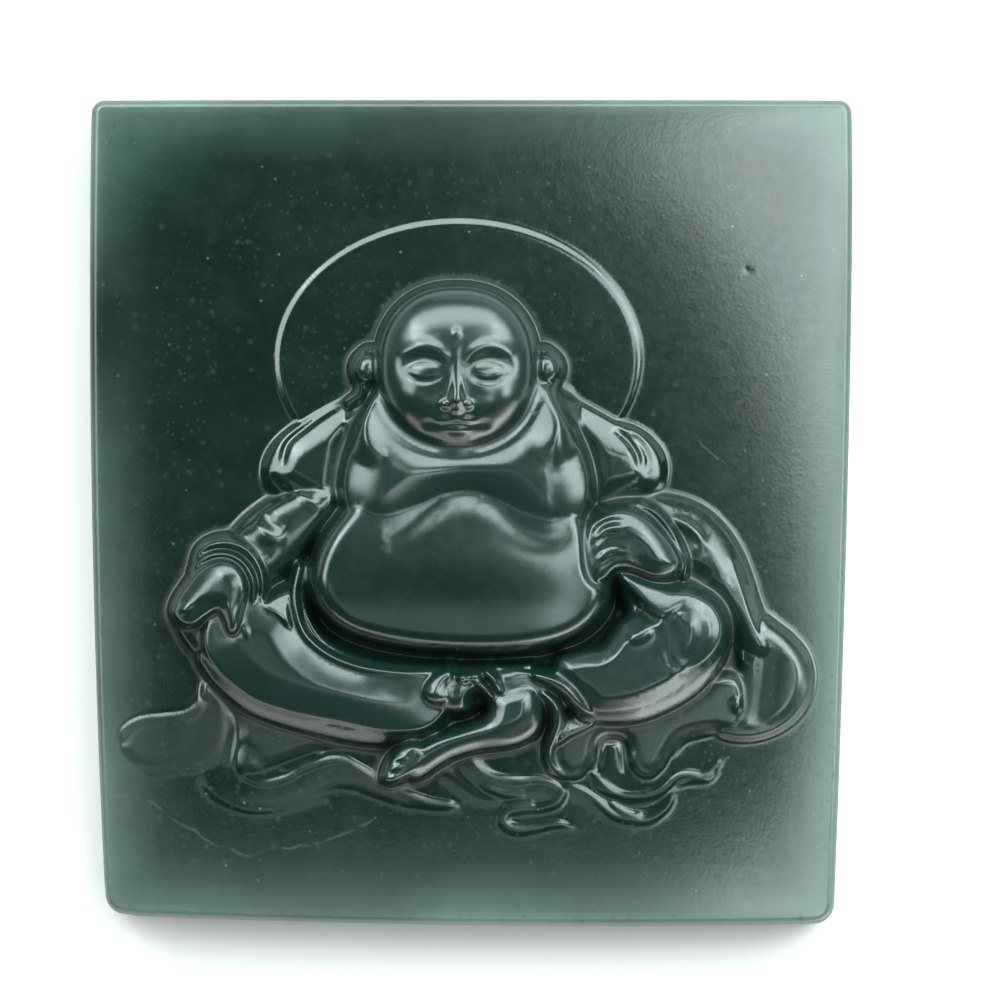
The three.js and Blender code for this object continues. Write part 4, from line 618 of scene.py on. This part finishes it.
BACK = -SLAB_THICKNESS/UNIT
rings, strips = [edge], []
def ring(inset, z, lift, side):
    global count
    rows = outline(inset)
    u, v = rows[:, 1], rows[:, 2]
    points.append(np.column_stack([u, v, z(u, v)]))
    d = 0.5
    tilt_u, tilt_v = (ground(u+d, v)-ground(u-d, v))/(2*d), (ground(u, v+d)-ground(u, v-d))/(2*d)
    top = np.column_stack([-tilt_u, tilt_v, np.ones_like(u)]) if lift > 0 else np.column_stack([0*u, 0*u, 0*u-1])
    n = top*abs(lift)+np.column_stack([rows[:, 3], -rows[:, 4], 0*u])*side
    normals.append(n/np.linalg.norm(n, axis=1, keepdims=True))
    new = [(p, count+k) for k, p in enumerate(rows[:, 0].tolist())]
    count += len(rows)
    strips.append(strip(rings[-1], new))
    rings.append(new)

for turn in np.linspace(0, math.pi/2, 9):
    inset = FRONT_ROUND*(1-math.sin(turn))
    fall = FRONT_ROUND*(1-math.cos(turn))
    ring(inset, lambda u, v: ground(u, v)-fall, max(math.cos(turn), 1e-6), math.sin(turn))
for turn in np.linspace(0, math.pi/2, 6):
    inset = BACK_ROUND*(1-math.cos(turn))
    ring(inset, lambda u, v: 0*u+BACK+BACK_ROUND*(1-math.sin(turn)), -max(math.sin(turn), 1e-6), math.cos(turn))
hub = count
points.append(np.array([[CENTRE_U, CENTRE_V, BACK]]))
normals.append(np.array([[0, 0, -1.0]]))
last = [k for _, k in rings[-1]]
strips.append(np.array([(p, last[(n+1) % len(last)], hub) for n, p in enumerate(last)]))
P = np.concatenate(points)
NRM = np.concatenate(normals)
F = np.concatenate([faces]+strips)
mid_u, mid_v = (P[:, 0].min()+P[:, 0].max())/2, (P[:, 1].min()+P[:, 1].max())/2
CO = np.column_stack([(P[:, 0]-mid_u)*UNIT, (mid_v-P[:, 1])*UNIT, (P[:, 2]-BACK)*UNIT])
# every face turned outwards
a, b, c = CO[F[:, 0]], CO[F[:, 1]], CO[F[:, 2]]
turned = np.einsum("ij,ij->i", np.cross(b-a, c-a), NRM[F[:, 0]]+NRM[F[:, 1]]+NRM[F[:, 2]]) < 0
F[turned] = F[turned][:, ::-1]

mesh = bpy.data.meshes.new("jade_relief")
mesh.vertices.add(len(CO))
mesh.vertices.foreach_set("co", CO.astype(np.float32).ravel())
mesh.loops.add(3*len(F))
mesh.loops.foreach_set("vertex_index", F.astype(np.int32).ravel())
mesh.polygons.add(len(F))
mesh.polygons.foreach_set("loop_start", np.arange(0, 3*len(F), 3, dtype=np.int32))
mesh.polygons.foreach_set("loop_total", np.full(len(F), 3, np.int32))
mesh.update(calc_edges=True)
mesh.polygons.foreach_set("use_smooth", np.ones(len(F), bool))
mesh.normals_split_custom_set_from_vertices(NRM.astype(np.float32).tolist())

# ---- what the stone's look follows: duller hollows and ribbons, a rim and thin edges painted paler as glow of light through the stone and a painted reflection along the bottom, raised forms painted with a lighter sheen
def ramp(x, a, b):
    x = np.clip((x-a)/(b-a), 0, 1)
    return x*x*(3-2*x)

height = np.zeros(len(P))
height[:len(used)] = H[row, col]
u, v = P[:, 0], P[:, 1]
sides = [u-left_edge(v), right_edge(v)-u, v-SHEET_TOP, bottom_edge(u)-v]
rim = np.minimum.reduce(sides)
hollow = np.zeros(len(P))
hollow[:len(used)] = (soften(H, 5/row_step, 5/col_step)-H)[row, col]

def patch(cu, cv, ru, rv):
    return np.exp(-((u-cu)/ru)**2-((v-cv)/rv)**2)

near_rim = 1-np.prod([ramp(d, 0, 70) for d in sides], axis=0)
# falloff of the painted glow of light through the thin stone, strongest at the edges
edge_glow_falloff = 1-np.prod([1-0.52*np.exp(-(np.maximum(d, 0)/13)**2)-0.26*np.exp(-(np.maximum(d, 0)/36)**2) for d in sides], axis=0)
ribbon = ramp(height, 0.7, 2.0)*(1-ramp(height, 7, 13))*ramp(v, 650, 690)
raised = ramp(height, 2.0, 26.0)*(1-0.85*(((u-458)/184)**2+((v-359)/141)**2 < 1)*(height < 12))
layers = {
    "satin": np.clip(0.85*ramp(hollow, 0.35, 2.0)+0.55*ribbon+0.95*(1-ramp(rim, 2, 12)), 0, 1),
    # rim: painted rim light, a pale glow of light through the thin edge and a painted reflection where the ground
    # curves down at the bottom
    "rim": np.where(NRM[:, 2] < -0.5, 0.3, np.clip(near_rim*(1-patch(90, 320, 80, 130)-0.7*patch(450, 100, 190, 60))+0.8*patch(115, 135, 75, 65)+0.8*patch(450, 930, 330, 30), 0, 1)),
    "raised": raised,
    # edge: painted glow along the thin edges, only on up-facing surfaces, weakened or strengthened in patches
    "edge": edge_glow_falloff*ramp(NRM[:, 2], 0.1, 0.6)*np.clip(1-patch(88, 330, 90, 140)-0.72*patch(420, 95, 210, 60)-0.4*patch(88, 600, 60, 150)-0.38*patch(860, 520, 60, 250)+0.5*patch(140, 105, 50, 30), 0, 1),
    # painted sheen: raised forms painted lighter as the light they catch, less on the belly
    "painted_sheen_mask": raised*(1-0.8*patch(432, 592, 125, 60)),
}
for name, values in layers.items():
    mesh.attributes.new(name, "FLOAT", "POINT").data.foreach_set("value", np.asarray(values, np.float32))

plaque = bpy.data.objects.new("jade_relief", mesh)
bpy.context.scene.collection.objects.link(plaque)
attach(plaque, "root")
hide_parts("jade_plaque")

# ---- stone
def node(tree, kind, at=(0, 0), **values):
    n = tree.nodes.new(kind)
    n.location = at
    for k, x in values.items():
        if k in n.inputs:
            n.inputs[k].default_value = x
        else:
            setattr(n, k, x)
    return n

jade = bpy.data.materials.new("jade")
jade.use_nodes = True
T = jade.node_tree
T.nodes.clear()
L = T.links.new
out = node(T, "ShaderNodeOutputMaterial", (1200, 0))
bsdf = node(T, "ShaderNodeBsdfPrincipled", (900, 0))
L(bsdf.outputs["BSDF"], out.inputs["Surface"])
co = node(T, "ShaderNodeTexCoord", (-1600, 0)).outputs["Object"]

def noise(scale, detail=3.0, rough=0.5, distort=0.0, vec=None, stretch=None):
    n = node(T, "ShaderNodeTexNoise", (-1200, 0))
    n.inputs["Scale"].default_value = scale
    n.inputs["Detail"].default_value = detail
    n.inputs["Roughness"].default_value = rough
    n.inputs["Distortion"].default_value = distort
    src = vec or co
    if stretch:
        m = node(T, "ShaderNodeMapping", (-1400, 0))
        m.inputs["Scale"].default_value = stretch
        L(src, m.inputs["Vector"])
        src = m.outputs["Vector"]
    L(src, n.inputs["Vector"])
    return n.outputs["Fac"]

def remap(x, a, b, c=0.0, d=1.0):
    n = node(T, "ShaderNodeMapRange", (-900, 0))
    n.interpolation_type = "SMOOTHSTEP"
    for k, val in (("From Min", a), ("From Max", b), ("To Min", c), ("To Max", d)):
        n.inputs[k].default_value = val
    L(x, n.inputs["Value"])
    return n.outputs["Result"]

def math_(op, a, b):
    n = node(T, "ShaderNodeMath", (-600, 0))
    n.operation = op
    for k, x in enumerate((a, b)):
        if isinstance(x, (int, float)):
            n.inputs[k].default_value = x
        else:
            L(x, n.inputs[k])
    return n.outputs[0]

def mix(fac, a, b):
    n = node(T, "ShaderNodeMix", (-300, 0))
    n.data_type = "RGBA"
    for name, x in (("Factor", fac), ("A", a), ("B", b)):
        sock = [i for i in n.inputs if i.name == name and (i.type == "RGBA" or name == "Factor" and i.type == "VALUE")][0]
        if isinstance(x, (int, float)):
            sock.default_value = x
        elif isinstance(x, tuple):
            sock.default_value = (*x, 1.0)
        else:
            L(x, sock)
    return [o for o in n.outputs if o.type == "RGBA"][0]

def layer(name):
    n = node(T, "ShaderNodeAttribute", (-1600, -300))
    n.attribute_name = name
    return n.outputs["Fac"]

satin, painted_rim_light, raised, painted_sheen_mask, edge = layer("satin"), layer("rim"), layer("raised"), layer("painted_sheen_mask"), layer("edge")
cloud = noise(70, 4, 0.55, 0.4)
fine = noise(420, 4, 0.6)
DEEP, MID, PAINTED_RIM_LIGHT = (0.0013, 0.0080, 0.0040), (0.0030, 0.0115, 0.0078), (0.024, 0.054, 0.044)
PAINTED_SHEEN, DUST, PAINTED_EDGE_GLOW = (0.0064, 0.0190, 0.0160), (0.16, 0.19, 0.18), (0.112, 0.158, 0.135)
col = mix(remap(cloud, 0.35, 0.68), DEEP, MID)
# painted sheen on the raised forms
col = mix(math_("MULTIPLY", painted_sheen_mask, remap(cloud, 0.25, 0.7, 0.6, 1.0)), col, PAINTED_SHEEN)
col = mix(remap(fine, 0.42, 0.72, 0.0, 0.45), col, (0.0075, 0.0200, 0.0165))
# painted rim light: pale glow of light through the thin edge and a painted reflection along the bottom edge
col = mix(math_("MULTIPLY", painted_rim_light, remap(cloud, 0.2, 0.7, 0.35, 0.9)), col, PAINTED_RIM_LIGHT)
# painted glow of light through the thin stone along the edges
col = mix(math_("MULTIPLY", edge, remap(cloud, 0.25, 0.7, 0.5, 1.0)), col, PAINTED_EDGE_GLOW)
# scattered pale specks
cells = node(T, "ShaderNodeTexVoronoi", (-1200, 300))
cells.inputs["Scale"].default_value = 950
L(co, cells.inputs["Vector"])
pick = node(T, "ShaderNodeSeparateColor", (-1000, 300))
L(cells.outputs["Color"], pick.inputs["Color"])
speck = math_("MULTIPLY", remap(cells.outputs["Distance"], 0.03, 0.12, 1.0, 0.0), remap(pick.outputs["Red"], 0.35, 0.95))
speck = math_("MULTIPLY", speck, math_("SUBTRACT", 1.0, raised))
col = mix(math_("MULTIPLY", speck, 0.38), col, DUST)
# fainter clouded spots
spots = node(T, "ShaderNodeTexVoronoi", (-1200, 500))
spots.inputs["Scale"].default_value = 1150
L(co, spots.inputs["Vector"])
pick2 = node(T, "ShaderNodeSeparateColor", (-1000, 500))
L(spots.outputs["Color"], pick2.inputs["Color"])
spot = math_("MULTIPLY", remap(spots.outputs["Distance"], 0.05, 0.30, 1.0, 0.0), remap(pick2.outputs["Green"], 0.15, 0.95))
spot = math_("MULTIPLY", spot, math_("SUBTRACT", 1.0, math_("MULTIPLY", raised, 0.8)))
col = mix(math_("MULTIPLY", spot, 0.5), col, (0.020, 0.046, 0.036))
# fine dust in the stone
motes = node(T, "ShaderNodeTexVoronoi", (-1200, 900))
motes.inputs["Scale"].default_value = 2100
L(co, motes.inputs["Vector"])
pick3 = node(T, "ShaderNodeSeparateColor", (-1000, 900))
L(motes.outputs["Color"], pick3.inputs["Color"])
mote = math_("MULTIPLY", remap(motes.outputs["Distance"], 0.05, 0.32, 1.0, 0.0), remap(pick3.outputs["Blue"], 0.3, 1.0))
mote = math_("MULTIPLY", mote, math_("SUBTRACT", 1.0, math_("MULTIPLY", raised, 0.7)))
col = mix(math_("MULTIPLY", mote, remap(cloud, 0.3, 0.65, 0.15, 0.6)), col, (0.026, 0.046, 0.038))
# hairline veins
def vein(points, half):
    best = None
    for (u0, v0), (u1, v1) in zip(points, points[1:]):
        ax, ay = (u0-mid_u)*UNIT, (mid_v-v0)*UNIT
        ex, ey = (u1-u0)*UNIT, (v0-v1)*UNIT
        ll = ex*ex+ey*ey
        px, py = math_("SUBTRACT", place.outputs["X"], ax), math_("SUBTRACT", place.outputs["Y"], ay)
        t_ = math_("DIVIDE", math_("ADD", math_("MULTIPLY", px, ex), math_("MULTIPLY", py, ey)), ll)
        t_ = math_("MINIMUM", math_("MAXIMUM", t_, 0.0), 1.0)
        dx = math_("SUBTRACT", px, math_("MULTIPLY", t_, ex))
        dy = math_("SUBTRACT", py, math_("MULTIPLY", t_, ey))
        d2 = math_("ADD", math_("MULTIPLY", dx, dx), math_("MULTIPLY", dy, dy))
        best = d2 if best is None else math_("MINIMUM", best, d2)
    return remap(math_("SQRT", best, 0.0), 0.2*half*UNIT, half*UNIT, 1.0, 0.0)

wander = node(T, "ShaderNodeVectorMath", (-1400, 700))
wander.operation = "SCALE"
shift = node(T, "ShaderNodeTexNoise", (-1600, 700))
shift.inputs["Scale"].default_value = 500
L(co, shift.inputs["Vector"])
L(shift.outputs["Color"], wander.inputs[0])
wander.inputs["Scale"].default_value = 14*UNIT
moved = node(T, "ShaderNodeVectorMath", (-1200, 700))
moved.operation = "ADD"
L(co, moved.inputs[0])
L(wander.outputs["Vector"], moved.inputs[1])
place = node(T, "ShaderNodeSeparateXYZ", (-1000, 700))
L(moved.outputs["Vector"], place.inputs["Vector"])
veins = math_("MAXIMUM", vein([(118, 788), (160, 796), (186, 818), (203, 826), (225, 839), (251, 850), (277, 844), (320, 839), (337, 833), (381, 813)], 2.2), vein([(702, 430), (716, 446), (744, 468)], 1.8))
veins = math_("MULTIPLY", veins, remap(noise(900, 3, 0.6), 0.42, 0.6, 0.1, 1.0))
col = mix(math_("MULTIPLY", veins, 0.34), col, (0.06, 0.09, 0.08))
L(col, bsdf.inputs["Base Color"])
grain = noise(1500, 3, 0.6)
rough_mix = node(T, "ShaderNodeMix", (300, -200))
rough_mix.data_type = "FLOAT"
L(satin, rough_mix.inputs[0])
gloss = math_("ADD", remap(grain, 0.3, 0.7, 0.145, 0.175), math_("MULTIPLY", painted_sheen_mask, 0.065))
L(gloss, rough_mix.inputs[2])
L(remap(grain, 0.3, 0.7, 0.38, 0.46), rough_mix.inputs[3])
L(rough_mix.outputs[0], bsdf.inputs["Roughness"])
bump = node(T, "ShaderNodeBump", (500, -400))
bump.inputs["Strength"].default_value = 0.14
bump.inputs["Distance"].default_value = 0.00002
L(noise(2000, 3, 0.6), bump.inputs["Height"])
peel = node(T, "ShaderNodeBump", (700, -400))
peel.inputs["Strength"].default_value = 0.32
peel.inputs["Distance"].default_value = 0.000008
L(noise(4500, 2, 0.5), peel.inputs["Height"])
L(bump.outputs["Normal"], peel.inputs["Normal"])
L(peel.outputs["Normal"], bsdf.inputs["Normal"])
bsdf.inputs["IOR"].default_value = 1.62
bsdf.inputs["Subsurface Weight"].default_value = 0.0
mesh.materials.append(jade)

# ---- floor
def flat_material(name, colour, rough):
    m = bpy.data.materials.new(name)
    m.use_nodes = True
    b = m.node_tree.nodes["Principled BSDF"]
    b.inputs["Base Color"].default_value = (*colour, 1)
    b.inputs["Roughness"].default_value = rough
    return m

fm = bpy.data.meshes.new("floor")
S = 2.0
fm.from_pydata([(-S, -S, 0), (S, -S, 0), (S, S, 0), (-S, S, 0)], [], [(0, 1, 2, 3)])
floor = bpy.data.objects.new("floor", fm)
floor.location.z = -0.00002
fm.materials.append(flat_material("floor_pale", (0.855, 0.80, 0.795), 0.9))
bpy.context.scene.collection.objects.link(floor)

# ---- light
def softbox(name, azimuth, off_zenith, distance, width, length, radiance, colour=(1, 1, 1)):
    """Rectangle facing the plaque. azimuth from +X towards +Y, off_zenith from straight up, in degrees."""
    a, z = math.radians(azimuth), math.radians(off_zenith)
    d = bpy.data.lights.new(name, "AREA")
    d.shape = "RECTANGLE"
    d.size, d.size_y = width, length
    d.energy = radiance*math.pi*width*length
    d.color = colour
    o = bpy.data.objects.new(name, d)
    o.location = (distance*math.sin(z)*math.cos(a), distance*math.sin(z)*math.sin(a), distance*math.cos(z))
    o.rotation_euler = (-o.location).to_track_quat("-Z", "Y").to_euler()
    bpy.context.scene.collection.objects.link(o)
    return o

DAY = (0.86, 1.0, 0.995)
softbox("window_top", 95, 47, 0.60, 0.90, 0.26, 8.0, DAY)
softbox("key_inner", 38, 18, 0.45, 0.13, 0.115, 7.0, DAY)
softbox("key_outer", 32, 34, 0.42, 0.16, 0.12, 8.0, DAY)
softbox("window_right", 19, 50, 0.42, 0.38, 0.14, 9.0, DAY)
softbox("window_left", 158, 46, 0.60, 0.42, 0.24, 7.5, DAY)
softbox("fill_right", 352, 21, 0.45, 0.08, 0.10, 3.2, DAY)
softbox("fill_corner", 315, 22, 0.45, 0.10, 0.12, 4.2, DAY)
softbox("fill_left", 202, 20, 0.45, 0.10, 0.10, 0.9, DAY)
softbox("fill_front", 268, 19, 0.50, 0.22, 0.15, 0.8, DAY)
softbox("card_front", 278, 80, 0.50, 1.25, 0.12, 2.8, (1.0, 0.97, 0.94))
softbox("card_brown", 303, 67, 0.50, 0.42, 0.12, 0.55, (1.0, 0.60, 0.42))
softbox("card_right", 310, 81, 0.50, 0.58, 0.12, 4.6, DAY)
softbox("card_back", 60, 80, 0.60, 1.20, 0.14, 1.4, DAY)
softbox("card_left", 150, 80, 0.60, 0.50, 0.14, 0.7, DAY)
world = bpy.data.worlds.new("studio")
world.use_nodes = True
world.node_tree.nodes["Background"].inputs["Color"].default_value = (0.80, 0.90, 0.90, 1)
world.node_tree.nodes["Background"].inputs["Strength"].default_value = 0.07
bpy.context.scene.world = world

# ---- camera, straight down on the carved face
FRAME_UNITS = 1000.0
cam = bpy.data.cameras.new("camera")
cam.sensor_width = 36.0
DIST = 0.60
cam.lens = 36.0*DIST/(FRAME_UNITS*UNIT)
cam.clip_start, cam.clip_end = 0.01, 10
camera = bpy.data.objects.new("camera", cam)
camera.location = ((500-mid_u)*UNIT, (mid_v-500)*UNIT, SLAB_THICKNESS+DIST)
bpy.context.scene.collection.objects.link(camera)
bpy.context.scene.camera = camera
view = bpy.context.scene.view_settings
view.view_transform = "Standard"
view.look = "None"
view.exposure = 0.0
